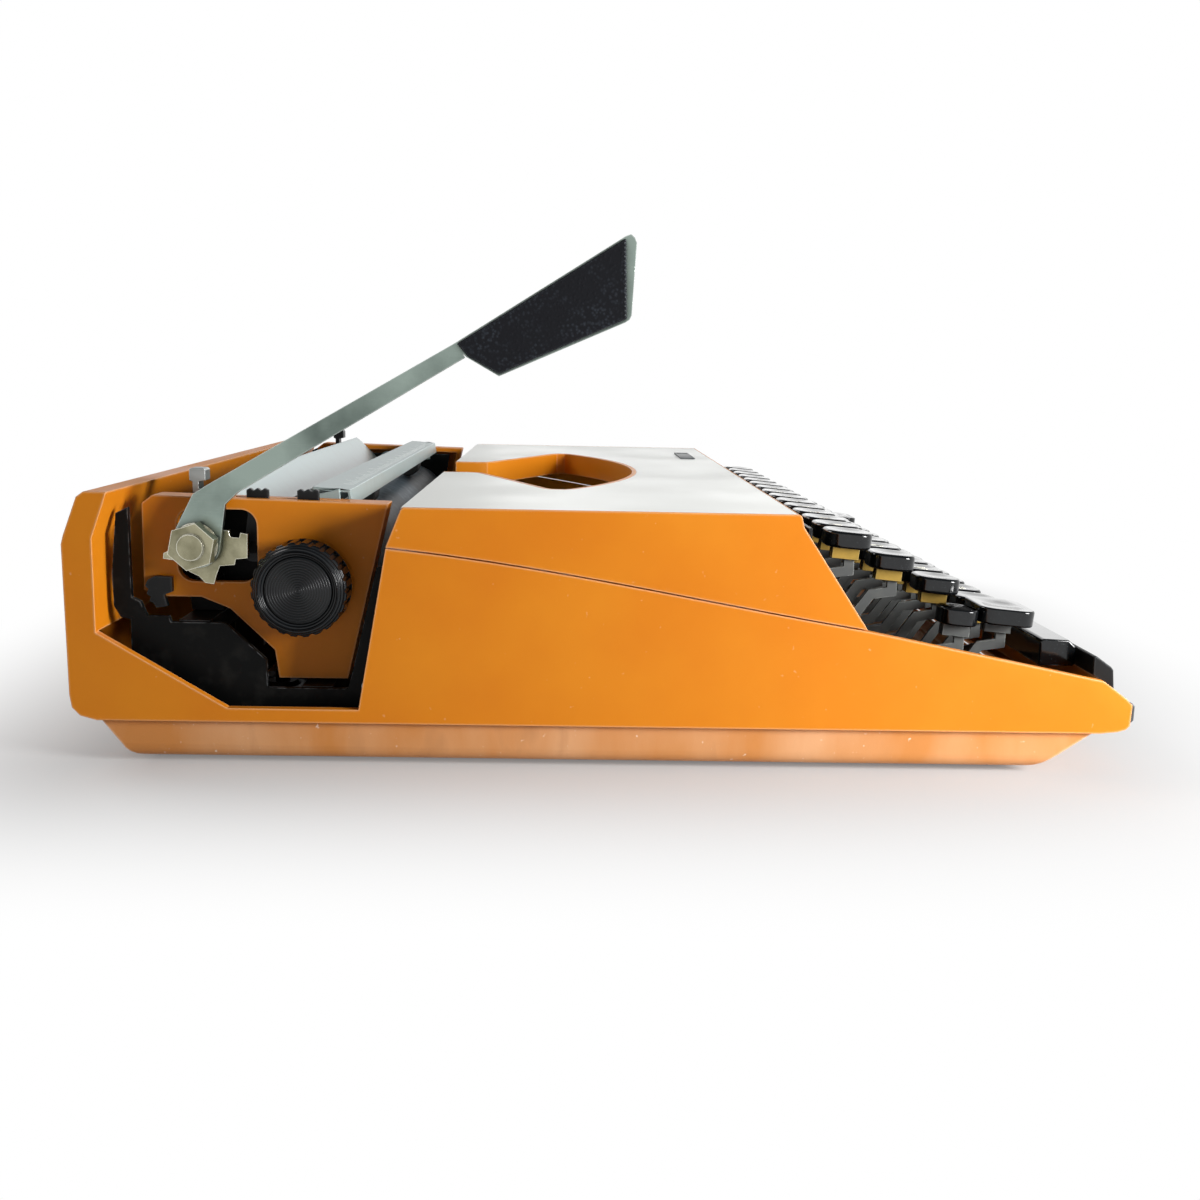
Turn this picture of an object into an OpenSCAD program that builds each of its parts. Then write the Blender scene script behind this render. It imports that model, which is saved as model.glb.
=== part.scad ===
// Flat portable typewriter in millimetres.
// X runs to the typist's right, Y to the rear, Z up. The keyboard is at the front, on the -Y side.

/* [Body] */
// Width across the side walls
body_w = 324; // [314:1:340]
// Depth over the front bumper and the rear wall
body_d = 333; // [328:1:345]
// Thickness of the moulded walls
wall = 3; // [2.6:0.1:3.4]
// Height of the seam between the tub and the shell
seam_z = 14.4; // [13.6:0.2:15.4]
// Height of the rear wall
rear_h = 85; // [84:0.5:90]
// Height of the ribbon cover's flat top
cover_h = 82; // [80:0.5:86]
// Height of the feet under the tub floor
foot_h = 1.8; // [1.4:0.1:3]
// Radius of each foot
foot_r = 8; // [6:0.5:10]

/* [Cover opening] */
// Half width of the neck at the rear of the opening
neck_half = 27; // [22:1:32]
// Half width of the opening where it is widest
throat_half = 92; // [84:1:96]
// Depth of the flange turned down round the opening
flange_h = 8; // [5:0.5:10]

/* [Keyboard] */
// Side of a square key top
key_size = 15.2; // [14:0.1:15.4]
// Corner radius of a key top
key_corner = 5; // [3:0.5:6]
// Thickness of a key top
key_h = 5.5; // [4.5:0.1:6]
// Tilt of the key tops toward the typist
key_tilt = 5; // [0:0.5:7]
// Height of the top row
key_top_z = 74.1; // [72:0.5:76]
// Distance in Y from row to row
row_step_y = 17.2; // [17:0.1:17.6]
// Fall from row to row
row_step_z = 8.4; // [8:0.1:8.8]
// Thickness of a key lever
lever_t = 1.2; // [1:0.1:1.5]
// Depth of a key lever's strip
lever_w = 3.4; // [2.8:0.1:3.8]
// Radius of the shaft that the key levers turn on
shaft_r = 2.5; // [2:0.1:3]
// Half length of the space bar
space_half = 142; // [120:1:145]

/* [Carriage] */
// Radius of the platen roller
platen_r = 17; // [16:0.1:17.2]
// Height of the platen axis
platen_z = 55.5; // [55:0.1:56]
// Radius of the platen shaft
axle_r = 4; // [3:0.1:4.5]
// Radius of the platen knobs
knob_r = 14.8; // [13:0.1:15.4]
// Length of the platen knobs
knob_l = 13.5; // [11:0.5:15]
// Number of scallops round a knob
knob_n = 24; // [16:1:30]

/* [Return lever] */
// Rise of the lever's arm from level
lever_rise = 30.3; // [28:0.1:34]
// Distance from the bolt to the end of the paddle
lever_len = 162; // [150:1:166]
// Thickness of the lever's strap
strap_t = 2; // [1.6:0.1:2.4]
// Size of the bolt's nut across its flats
nut_af = 13; // [11:0.5:14]

/* [Type basket] */
// Number of typebars, an odd number
bar_n = 43; // [31:2:45]
// Radius of the arc that the typebars turn on
seg_r = 40; // [38:0.5:42]
// Half angle of the fan of typebars
fan_half = 58; // [50:1:60]
// Lift of a resting typebar above level
bar_lift = 20; // [16:1:24]
// Radius of the ribbon spools
spool_r = 20; // [17:0.5:22]
// Width of the ribbon
ribbon_w = 13; // [11:0.5:13]

/* [Hidden] */
$fn = 48;

// Clearances: a running fit, a sliding fit, the seam under the cover
run = 0.06;
slide = 0.4;
seam_gap = 0.4;

// Reference faces
half_w = body_w / 2;
rear_y = body_d / 2;
bumper_t = 2.3;
nose_y = -body_d / 2 + bumper_t;
inner_x = half_w - wall;

// Base tub
tub_half = half_w - 2;
tub_wall = 2.5;
tub_z = foot_h;
floor_z = tub_z + tub_wall;
lip_h = 2.5;

// Side outline of the shell
sill_z = seam_z + 4.4;
win_low_z = sill_z + 23.2;
win_rear_y = rear_y - 9.2;
seam_rear_y = rear_y - 97.1;
seam_rear_z = cover_h - 12.7;
seam_front_y = nose_y + 85.1;
seam_front_z = 46.1;
rim_front_y = nose_y + 9.6;
rim_front_z = seam_z + 16.9;
skin = wall * 0.8;

// Ribbon cover
cover_rear_y = rear_y - 101.7;
cover_front_y = nose_y + 107.2;
panel_t = 2;
deck_t = 2.4;
flange_t = 1.8;

// Chassis
plate_t = 2;
plate_x = half_w - 10;
pivot_y = rear_y - 90.5;
pivot_z = 24;
comb_y = nose_y + 124;
shield_y = nose_y + 101.6;
shield_t = 1.2;
eye_r = shaft_r + 2;

// Carriage and platen
platen_y = rear_y - 70;
end_x = half_w - 17;
end_t = 3;
side_x = end_x - 10;
side_t = 2;
platen_half = side_x - 7;
rail_y = rear_y - 73.5;
rail_top = sill_z + 4.4;
rear_rail_y = rear_y - 35.5;
rear_rail_top = rail_top + 20.8;
knob_x = end_x + 2.5;
rack_y = rear_y - 31.5;
rack_z = platen_z + 20.5;

// Return lever, measured along its arm from the bolt
bolt_y = rear_y - 37.5;
bolt_z = platen_z + 12.7;
bolt_r = 4;
bracket_x = end_x + 2.5;
strap_x = bracket_x + 2.3;
pin_x = end_x - 6.2;
paddle_u = lever_len - 62;
strap_eye_r = nut_af / 2 + 0.8;

// Paper bail
bail_y = platen_y + 13.5;
bail_z = platen_z + 19.5;
bail_roller_r = 5;
bail_axle_r = 1.2;
bail_reach = platen_r + bail_roller_r + 0.5;
bail_bar_y = platen_y - bail_reach * cos(75);
bail_bar_z = platen_z + bail_reach * sin(75);
tab_t = 1.8;
tab_x = end_x - end_t - 0.6 - tab_t / 2;
release_y = rear_y - 25.5;
release_z = sill_z + 36;

// Keyboard, its key pitch from the room between the walls
key_pitch = (body_w - 39) / 15;
row_y = [for (k = [0:3]) nose_y + 86.7 - row_step_y * k];
row_z = [for (k = [0:3]) key_top_z - row_step_z * k];
row_low = [for (k = [0:3]) 17 - k];
row_first = [-7, -6.5, -6.25, -5.75];
row_count = [15, 14, 14, 12];
centre_i = 6;
clip_h = 4;
clip_w = 4.4;
space_y = nose_y + 17.2;
space_z = key_top_z - 33.6;
space_d = 12;
space_h = 9;
space_arm_x = 3.875 * key_pitch;
shift_x = 6.895 * key_pitch;
shift_w = 2 * (shift_x - 5.75 * key_pitch - key_size / 2 - 2.155);
shift_d = key_size + 3.2;
lock_x = shift_x + 7;
lock_size = 12.8;
// The two shift keys and the shift lock: place, width and depth
shift_y = row_y[3] - 1.3;
shift_z = row_z[3] + 1.1;
lock_y = shift_y + shift_d / 2 + lock_size / 2 + 0.6;
shift_keys = [[-shift_x, shift_y, shift_z, shift_w, shift_d], [shift_x, shift_y, shift_z, shift_w, shift_d],
    [-lock_x, lock_y, shift_z, lock_size, lock_size]];

// Type basket
seg_y = rear_y - 82.5;
seg_z = 24;
seg_half = 4;
bar_t = 1;
bar_w = 4.5;
pin_r = 0.8;
bar_z = seg_z + 0.6;
print_y = platen_y - platen_r - 0.5;
print_z = platen_z + 2.5;
bar_len = norm([print_y - (seg_y - seg_r), print_z - seg_z]) - 1;
bar_step = 2 * fan_half / (bar_n - 1);
guide_x = 2.375 * key_pitch;
guide_y = seg_y - 19.5;
spool_x = half_w - 50;
spool_y = rear_y - 131.5;
spool_h = ribbon_w + 2.6;
deck_z = 32;
ribbon_z = deck_z + 3.2;
core_r = 16;
post_x = 24;
post_y = platen_y - 23.5;
ribbon_y = platen_y - 19.5;
ribbon_t = 0.3;
drum_r = 16;
drum_x = half_w - 52;
drum_y = rear_y - 53.5;

// Points on an arc
function arc(c, r, a0, a1, n) = [for (i = [0:n]) c + r * [cos(a0 + (a1 - a0) * i / n),
    sin(a0 + (a1 - a0) * i / n)]];
function unit(v) = v / norm(v);
function left(v) = [-v[1], v[0]];
function flip(p) = [for (i = [len(p) - 1:-1:0]) p[i]];
function join(p, i, j, k, d) =
    let (n1 = left(unit(p[j] - p[i])), n2 = left(unit(p[k] - p[j]))) p[j] + d * (n1 + n2) / (1 + n1 * n2);
// An open path moved to its left by d
function beside(p, d) = let (n = len(p)) [for (i = [0:n - 1])
    i == 0 ? p[0] + d * left(unit(p[1] - p[0])) :
    i == n - 1 ? p[i] + d * left(unit(p[i] - p[i - 1])) : join(p, i - 1, i, i + 1, d)];
// A closed outline, anticlockwise, moved inward by d
function inset(p, d) = let (n = len(p)) [for (i = [0:n - 1]) join(p, (i + n - 1) % n, i, (i + 1) % n, d)];
// A strip of width t on the left of a path, and one centred on it
function strip(p, t) = concat(p, flip(beside(p, t)));
function ribbon_strip(p, t) = concat(beside(p, -t / 2), flip(beside(p, t / 2)));
// The height of the seam under the cover
function seam(y) = let (u = (y - seam_front_y) / (seam_rear_y - seam_front_y))
    seam_front_z + (seam_rear_z - seam_front_z) * (u + 0.42 * u * u * (1 - u));
function key_x(k, i) = (row_first[k] + i) * key_pitch;

// A profile drawn as (Y, Z) and run from x0 to x1
module along_x(x0, x1) {
    translate([x0, 0, 0])
        rotate([90, 0, 90])
            linear_extrude(x1 - x0)
                children();
}

// A profile drawn as (X, Z) and run from y0 to y1
module along_y(y0, y1) {
    translate([0, y1, 0])
        rotate([90, 0, 0])
            linear_extrude(y1 - y0)
                children();
}

module rod_x(x0, x1, r, y, z) {
    translate([x0, y, z])
        rotate([0, 90, 0])
            cylinder(h = x1 - x0, r = r);
}

module both() {
    children();
    mirror([1, 0, 0])
        children();
}

module box(x0, x1, y0, y1, z0, z1) {
    translate([x0, y0, z0])
        cube([x1 - x0, y1 - y0, z1 - z0]);
}

module rounded(w, d, r) {
    square([w - 2 * r, d], center = true);
    square([w, d - 2 * r], center = true);
    for (sx = [-1, 1])
        for (sy = [-1, 1])
            translate([sx * (w / 2 - r), sy * (d / 2 - r)])
                circle(r);
}

// Outlines

tub_outer = concat(
    arc([nose_y + 33, tub_z + 14], 14, 236, 270, 4),
    arc([rear_y - 22, tub_z + 8], 8, 270, 335, 5),
    [[rear_y - 8.5, seam_z], [nose_y + 10.5, seam_z]]);
tub_section = concat(
    arc([-tub_half + 5, tub_z + 5], 5, 180, 270, 5),
    arc([tub_half - 5, tub_z + 5], 5, 270, 360, 5),
    [[tub_half, seam_z], [-tub_half, seam_z]]);

rear_path = [[rear_y - 8, seam_z], [rear_y - 3, seam_z + 1.4], [rear_y - 0.6, seam_z + 4],
    [rear_y, seam_z + 8], [rear_y, rear_h - 16], [rear_y - 0.7, rear_h - 13.4],
    [rear_y - 5.2, rear_h - 1.6], [rear_y - 7.4, rear_h], [rear_y - 14.3, rear_h],
    [win_rear_y, rear_h - 14], [win_rear_y + 0.2, win_low_z]];
nose_path = [[rim_front_y, seam_z + 5], [rim_front_y, rim_front_z], [nose_y + 2.2, rim_front_z - 5.4],
    [nose_y, rim_front_z - 7.6], [nose_y + 0.2, seam_z + 2.6],
    [nose_y + 1.4, seam_z + 1.4], [nose_y + 4, seam_z + 0.6], [rim_front_y, seam_z]];
seam_points = [for (i = [24:-1:0])
    let (y = seam_front_y + (seam_rear_y - seam_front_y) * i / 24) [y, seam(y)]];
side_outline = concat(rear_path, [[rear_y - 48, sill_z], [rear_y - 88.3, sill_z]], seam_points,
    [for (i = [1:len(nose_path) - 1]) nose_path[i]]);

cheek_outline = concat(
    [[cover_rear_y, cover_h - 0.8], [cover_rear_y - 0.8, cover_h], [cover_front_y + 0.8, cover_h],
    [cover_front_y, cover_h - 0.8], [cover_front_y - 0.8, cover_h - 4]],
    [for (p = flip(seam_points)) p + [0, seam_gap]]);

throat_front = nose_y + 151.2;
throat_side = throat_front + 26.4;
throat_r = (throat_half * throat_half + 26.4 * 26.4) / (2 * 26.4);
throat_a = asin(throat_half / throat_r);
throat_half_path = concat(
    [for (i = [0:10]) let (a = throat_a * i / 10)
        [throat_r * sin(a), throat_front + throat_r * (1 - cos(a))]],
    [[throat_half + 2, throat_side + 2.6], [throat_half + 1.6, throat_side + 6.4],
    [throat_half - 1, throat_side + 8.4], [neck_half + 4, cover_rear_y - 16.4],
    [neck_half + 1, cover_rear_y - 14.2], [neck_half, cover_rear_y - 10],
    [neck_half, cover_rear_y + 6]]);
throat = concat(throat_half_path,
    [for (i = [len(throat_half_path) - 1:-1:1]) [-throat_half_path[i][0], throat_half_path[i][1]]]);

// The side plate, low where the carriage runs out over it
plate_outline = concat(
    [[nose_y + 36, floor_z], [rear_y - 24, floor_z], [rear_y - 19.5, floor_z + 4],
    [rear_y - 16, seam_z + 6], [rear_y - 16.4, seam_z + 30], [rear_y - 13.4, seam_z + 30.6],
    [rear_y - 11.4, seam_z + 34], [rear_y - 11.2, seam_z + 44], [rear_y - 13.2, rear_h - 7.4],
    [rear_y - 16.9, rear_h - 5.6], [rear_y - 16.9, sill_z + 32.4], [rear_y - 19.4, sill_z + 31.2],
    [rear_y - 21.4, release_z - 9.4], [rear_rail_y + 7.4, release_z - 9.4],
    [rear_rail_y + 6.8, rear_rail_top - 0.4], [rear_y - 45.5, rear_rail_top - 0.4],
    [rear_y - 57.9, sill_z + 13.2], [rear_y - 58.3, rail_top - 0.3], [pivot_y + 7, rail_top - 0.3],
    [pivot_y + 5.8, pivot_z + 3], [rear_y - 93, pivot_z + 38], [rear_y - 100, pivot_z + 39.5]],
    [for (i = [20:-4:0]) seam_points[24 - i] - [0, 5]],
    [[nose_y + 36, rim_front_z + 1.2]]);

end_outline = [[rear_y - 22.3, rear_h - 2.4], [rear_y - 95.7, rear_h - 3.9], [rear_y - 82.4, sill_z + 5.7],
    [rear_y - 60.4, sill_z + 5.7], [rear_y - 59.2, sill_z + 14.8], [rear_y - 45.5, sill_z + 28],
    [rear_y - 36.5, sill_z + 31.7], [rear_y - 25.5, sill_z + 31.7], [rear_y - 18.6, sill_z + 33.6],
    [rear_y - 18.9, rear_h - 5]];

// Base and shell

module tub_form(d) {
    intersection() {
        along_x(-half_w, half_w)
            polygon(inset(tub_outer, d));
        along_y(-rear_y, rear_y)
            polygon(inset(tub_section, d));
    }
}

module foot_places() {
    for (sx = [-1, 1])
        for (y = [nose_y + 44, rear_y - 40])
            translate([sx * (half_w - 34), y, 0])
                children();
}

module screw_places() {
    for (sx = [-1, 1])
        for (y = [nose_y + 60, rear_y - 60])
            translate([sx * (plate_x - 6), y, 0])
                children();
}

module base_tub() {
    color("#e8a06a")
    difference() {
        union() {
            difference() {
                tub_form(0);
                tub_form(tub_wall);
                box(-tub_half + tub_wall, tub_half - tub_wall, nose_y + 13, rear_y - 11,
                    seam_z - tub_wall - 0.5, seam_z + 1);
            }
            both()
                box(inner_x - 2.6, inner_x - 0.3, nose_y + 24, rear_y - 24, seam_z - 2, seam_z + lip_h);
        }
        foot_places()
            cylinder(h = 30, r = 3.05);
        screw_places()
            cylinder(h = 30, r = 1.6);
    }
}

module rubber_feet() {
    color("#2a2a2a")
    foot_places() {
        cylinder(h = foot_h, r = foot_r);
        translate([0, 0, foot_h - 0.2])
            cylinder(h = tub_wall + 2.2, r = 3);
    }
}

module body_shell() {
    color("#d9571c") {
        both()
            along_x(inner_x, half_w)
                polygon(side_outline);
        along_x(-inner_x - 0.5, inner_x + 0.5)
            polygon(strip(rear_path, skin));
        along_x(-inner_x - 0.5, inner_x + 0.5)
            polygon(strip(nose_path, skin));
    }
}

module front_trim() {
    color("#151515")
    along_x(-inner_x + 6, inner_x - 6)
        polygon([[rim_front_y, rim_front_z], [rim_front_y + 0.2, rim_front_z + 6],
            [rim_front_y - 0.6, rim_front_z + 6.2], [nose_y + 3.8, rim_front_z + 2.6],
            [nose_y + 3, rim_front_z + 1.6], [nose_y + 2.2, rim_front_z - 5.4]]);
}

module front_bumper() {
    color("#3c3f42")
    along_x(-half_w + 3, half_w - 3)
        polygon([[nose_y + 0.2, seam_z + 2.6], [nose_y, rim_front_z - 7.6],
            [nose_y - bumper_t + 0.8, rim_front_z - 7.8], [nose_y - bumper_t, rim_front_z - 8.6],
            [nose_y - bumper_t, seam_z + 3.6], [nose_y - bumper_t + 0.8, seam_z + 2.8]]);
}

module frame_screws() {
    color("#9a9c9c")
    screw_places() {
        translate([0, 0, tub_z - 1.2])
            difference() {
                cylinder(h = 1.2, r = 3.2);
                translate([-0.5, -4, -0.1])
                    cube([1, 8, 0.7]);
            }
        translate([0, 0, tub_z - 0.1])
            cylinder(h = tub_wall + 2.5, r = 1.5);
    }
}

// Chassis

module side_plate() {
    along_x(plate_x - plate_t, plate_x)
        difference() {
            polygon(plate_outline);
            translate([pivot_y, pivot_z])
                circle(shaft_r + run / 2);
        }
}

module main_frame() {
    color("#26282a") {
        both() {
            side_plate();
            for (y = [nose_y + 60, rear_y - 60])
                difference() {
                    box(plate_x - 11, plate_x - plate_t + 0.1, y - 6, y + 6, floor_z, floor_z + 2);
                    translate([plate_x - 6, y, 0])
                        cylinder(h = 30, r = 1.55);
                }
        }
        box(-plate_x + 1, plate_x - 1, nose_y + 37, nose_y + 41, floor_z, floor_z + 2.6);
        box(-plate_x + 1, plate_x - 1, rail_y - 2, rail_y + 2, floor_z, rail_top - 6);
        box(-plate_x + 1, plate_x - 1, rear_rail_y + 0.5, rear_rail_y + 3.5, floor_z, sill_z - 3);
        both()
            box(60, 100, rear_rail_y + 0.5, rear_rail_y + 3.5, floor_z, rear_rail_top - 6);
        box(-drum_x - 6, -drum_x + 6, rail_y + 1, rear_rail_y + 1, floor_z, floor_z + 1.6);
        translate([-drum_x, drum_y, floor_z + 1])
            cylinder(h = 14, r = 2.4);
        box(-guide_x - 5, guide_x + 5, guide_y - 4, rail_y, floor_z, floor_z + 1.6);
        both()
            translate([guide_x, guide_y, floor_z + 1])
                cylinder(h = seg_z + 12 - floor_z, r = 1.2);
        box(-30, 30, pivot_y + 6.2, pivot_y + 8.2, floor_z, deck_z);
        box(-30, 30, pivot_y - 6, pivot_y + 8.2, deck_z - 1.6, deck_z);
    }
}

module carriage_rails() {
    color("#7d8184") {
        box(-plate_x + 2, plate_x - 2, rail_y - 5, rail_y + 5, rail_top - 6, rail_top);
        box(-plate_x + 2, plate_x - 2, rear_rail_y - 5, rear_rail_y + 5, rear_rail_top - 6, rear_rail_top);
    }
}

module key_shaft() {
    color("#a9adb0")
    rod_x(-plate_x - 1.5, plate_x + 1.5, shaft_r, pivot_y, pivot_z);
}

module comb_slot(x) {
    box(x - lever_t / 2 - slide, x + lever_t / 2 + slide, comb_y - 1, comb_y + 3, floor_z + 2,
        floor_z + 30);
}

module key_comb() {
    color("#3a3d3f")
    difference() {
        box(-plate_x + plate_t, plate_x - plate_t, comb_y, comb_y + 2, floor_z, floor_z + 18);
        for (k = [0:3])
            for (i = [0:row_count[k] - 1])
                comb_slot(key_x(k, i));
        for (x = [-lock_x, -shift_x, shift_x, -space_arm_x, space_arm_x])
            comb_slot(x);
    }
}

// The sheet that closes the gap behind the top row of keys
module keyboard_shield() {
    color("#141516") {
        box(-plate_x + plate_t, plate_x - plate_t, shield_y, shield_y + shield_t, pivot_z + 30,
            key_top_z + 2.4);
        both()
            box(plate_x - plate_t - 1.6, plate_x - plate_t, shield_y, shield_y + 12, pivot_z - 4,
                pivot_z + 34);
    }
}

module ribbon_deck() {
    color("#303335")
    both() {
        difference() {
            translate([0, 0, deck_z])
                linear_extrude(1.6)
                    polygon([[spool_x - 22, spool_y - 14], [spool_x - 8, spool_y - 24],
                        [plate_x, spool_y - 24], [plate_x, spool_y + 24],
                        [spool_x - 2, spool_y + 24], [spool_x - 22, spool_y + 10]]);
            box(plate_x - plate_t - 0.02, plate_x + 1, -rear_y, rear_y, 0, deck_z + 2);
        }
        translate([spool_x, spool_y, deck_z + 1])
            cylinder(h = spool_h + 3, r = 3);
    }
}

module type_guide() {
    color("#b9bcbc") {
        box(-18, 18, pivot_y - 5.5, pivot_y - 0.5, deck_z, deck_z + 1.2);
        both() {
            box(3, 5.4, pivot_y - 5.5, pivot_y - 1.2, deck_z, print_z - 8);
            box(12, 16, pivot_y - 3, pivot_y - 1.9, deck_z, ribbon_z + ribbon_w + 3);
            box(post_x - 7, post_x + 3, pivot_y - 5.5, pivot_y - 0.5, deck_z, deck_z + 1.2);
            translate([post_x, post_y + 1.9, deck_z])
                cylinder(h = ribbon_w + 7, r = 1.4);
        }
    }
}

// The ribbon leaves each spool along its tangent, rounds a post and crosses in front of the platen
ribbon_d = [post_x - spool_x, post_y - spool_y];
ribbon_a = atan2(ribbon_d[1], ribbon_d[0]) - acos((core_r + 0.6) / norm(ribbon_d));
ribbon_half = [[spool_x, spool_y] + (core_r + 0.6) * [cos(ribbon_a), sin(ribbon_a)], [post_x, post_y],
    [10, ribbon_y]];
ribbon_path = concat(ribbon_half, [for (p = flip(ribbon_half)) [-p[0], p[1]]]);

module ribbon() {
    color("#1c1c20")
    translate([0, 0, ribbon_z])
        linear_extrude(ribbon_w)
            polygon(ribbon_strip(ribbon_path, ribbon_t));
}

module line_bell() {
    color("#c9a94f")
    translate([drum_x, drum_y, floor_z]) {
        rotate_extrude()
            polygon([[0, 9.5], [10, 9.5], [13.2, 7.6], [14.4, 3.4], [14.4, 2.4], [13.2, 2.4], [12, 6.6],
                [9.4, 8.2], [0, 8.2]]);
        cylinder(h = 9, r = 2.4);
    }
}

module spring_drum() {
    color("#8b8f91")
    translate([-drum_x, drum_y, floor_z + 2.2])
        rotate_extrude()
            polygon([[2.5, 0], [drum_r, 0], [drum_r, 1.4], [drum_r - 1.2, 1.8], [drum_r - 1.2, 6.4],
                [drum_r, 6.8], [drum_r, 8], [9, 8], [8, 7.2], [6, 7.2], [5, 8.6], [2.5, 8.6]]);
}

// Ribbon cover

module throat_wall(d) {
    difference() {
        polygon(inset(throat, -d));
        polygon(throat);
        translate([-half_w, cover_rear_y])
            square([body_w, 40]);
    }
}

module cover_frame() {
    color("#dd5a1e") {
        both()
            difference() {
                along_x(inner_x, half_w)
                    polygon(cheek_outline);
                box(inner_x - 1, half_w - 1.2, cover_front_y + 1.2, cover_rear_y + 1, cover_h - panel_t,
                    cover_h + 1);
            }
        translate([0, 0, cover_h - panel_t - deck_t])
            linear_extrude(deck_t)
                difference() {
                    translate([-inner_x - 0.5, cover_front_y + 0.4])
                        square([2 * inner_x + 1, cover_rear_y - cover_front_y - 0.4]);
                    polygon(throat);
                }
        translate([0, 0, cover_h - panel_t - flange_h])
            linear_extrude(panel_t + flange_h)
                throat_wall(flange_t);
        along_x(-inner_x - 0.5, inner_x + 0.5)
            polygon([[cover_front_y + 1.2, cover_h], [cover_front_y + 0.8, cover_h],
                [cover_front_y, cover_h - 0.8], [cover_front_y - 0.8, cover_h - 4],
                [cover_front_y + 0.4, cover_h - 4.8], [cover_front_y + 1.2, cover_h - panel_t]]);
    }
}

module cover_panel() {
    color("#f2efe9")
    translate([0, 0, cover_h - panel_t])
        linear_extrude(panel_t)
            difference() {
                translate([-half_w + 1.2, cover_front_y + 1.2])
                    square([body_w - 2.4, cover_rear_y - cover_front_y - 1.2]);
                polygon(inset(throat, -flange_t));
            }
}

// Type basket

module seg_turn(a) {
    translate([0, seg_y, 0])
        rotate([0, 0, a])
            children();
}

module type_segment() {
    color("#8e9294")
    difference() {
        union() {
            seg_turn(270 - fan_half - 5)
                rotate_extrude(angle = 2 * fan_half + 10)
                    translate([seg_r - seg_half, seg_z - 3.5])
                        square([2 * seg_half, 8]);
            both()
                box(seg_r * sin(fan_half) - 2, guide_x + 3.6, guide_y - 4, guide_y + 2.8,
                    seg_z - 3, seg_z + 2);
        }
        for (i = [0:bar_n - 1])
            seg_turn(-fan_half + i * bar_step)
                box(-bar_t / 2 - 0.15, bar_t / 2 + 0.15, -seg_r - seg_half - 1, -seg_r + seg_half + 1,
                    seg_z - 2.2, seg_z + 9);
        both()
            translate([guide_x, guide_y, 0])
                cylinder(h = 80, r = 1.2 + run);
    }
    color("#8e9294")
    for (i = [0:bar_n - 1])
        seg_turn(-fan_half + i * bar_step)
            rod_x(-bar_t / 2 - 0.35, bar_t / 2 + 0.35, pin_r, -seg_r, bar_z);
}

// One typebar with its pivot at the origin, pointing forward
module typebar() {
    rotate([-bar_lift, 0, 0]) {
        along_x(-bar_t / 2, bar_t / 2)
            difference() {
                union() {
                    translate([-bar_len + 2, -bar_w / 2])
                        square([bar_len - 2, bar_w]);
                    circle(bar_w / 2);
                }
                circle(pin_r + run);
            }
        translate([-1.4, -bar_len - 0.5, -bar_w / 2])
            cube([2.8, 4, bar_w + 3.5]);
    }
}

module typebars() {
    color("#6f7477")
    for (i = [0:bar_n - 1])
        if (i != (bar_n - 1) / 2)
            seg_turn(-fan_half + i * bar_step)
                translate([0, -seg_r, bar_z])
                    typebar();
}

module centre_typebar() {
    color("#7c8184")
    translate([0, seg_y - seg_r, bar_z])
        typebar();
}

module spool() {
    translate([0, 0, deck_z + 1.9])
        rotate_extrude()
            polygon([[3.1, 0], [spool_r, 0], [spool_r, 0.9], [core_r, 0.9], [core_r, spool_h - 0.9],
                [spool_r, spool_h - 0.9], [spool_r, spool_h], [8, spool_h], [7, spool_h + 1],
                [3.1, spool_h + 1]]);
}

module ribbon_spool_left() {
    color("#2c2d30")
    translate([-spool_x, spool_y, 0])
        spool();
}

module ribbon_spool_right() {
    color("#2c2d30")
    translate([spool_x, spool_y, 0])
        spool();
}

// Carriage

module carriage_side() {
    difference() {
        along_x(side_x - side_t, side_x)
            polygon([[rail_y - 5, rail_top + 0.3], [rail_y + 9, rail_top + 0.3],
                [rail_y + 10.4, rail_top + 10.4], [rear_rail_y - 5, rear_rail_top + 5.8],
                [rear_rail_y - 5, rear_rail_top + 0.3], [rear_rail_y + 5, rear_rail_top + 0.3],
                [rear_rail_y + 6, rear_rail_top + 9], [rear_y - 23, rear_rail_top + 11],
                [rear_y - 23.5, rear_h - 7], [rear_y - 89, rear_h - 7], [rear_y - 83.5, rail_top + 18]]);
        rod_x(0, half_w, axle_r + run, platen_y, platen_z);
        rod_x(0, half_w, 2 + run, bail_y, bail_z);
    }
}

module carriage_frame() {
    color("#54585b") {
        both()
            carriage_side();
        box(-side_x + 1, side_x - 1, rail_y - 5, rail_y + 5, rail_top + 0.3, rail_top + 3.8);
        box(-side_x + 1, side_x - 1, rear_rail_y - 5, rear_rail_y + 5, rear_rail_top + 0.3,
            rear_rail_top + 3.8);
        difference() {
            box(-side_x + 1, side_x - 1, rack_y - 2, rack_y + 2, rack_z - 2, rack_z + 2);
            for (i = [-24:24])
                box(i * 4.6 - 0.8, i * 4.6 + 0.8, rack_y + 1, rack_y + 3, rack_z - 3, rack_z + 3);
        }
        for (z = [bolt_z - 14.5, bolt_z + 8])
            difference() {
                box(-pin_x - 2.6, -side_x + 1, bolt_y - 3.6, bolt_y + 3.6, z, z + 2.5);
                translate([-pin_x, bolt_y, 0])
                    cylinder(h = 200, r = 1.9);
            }
        translate([-pin_x, bolt_y, bolt_z - 14.5])
            cylinder(h = 25, r = 1.9);
        rod_x(-tab_x - tab_t / 2 - 0.2, -side_x + 1, 2, platen_y + 17.5, platen_z + 10.5);
    }
}

module end_cover() {
    difference() {
        along_x(side_x, end_x)
            polygon(end_outline);
        along_x(side_x - 1, end_x - end_t)
            polygon(inset(end_outline, end_t - 0.6));
        rod_x(0, half_w, axle_r + 1.5, platen_y, platen_z);
    }
}

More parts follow.
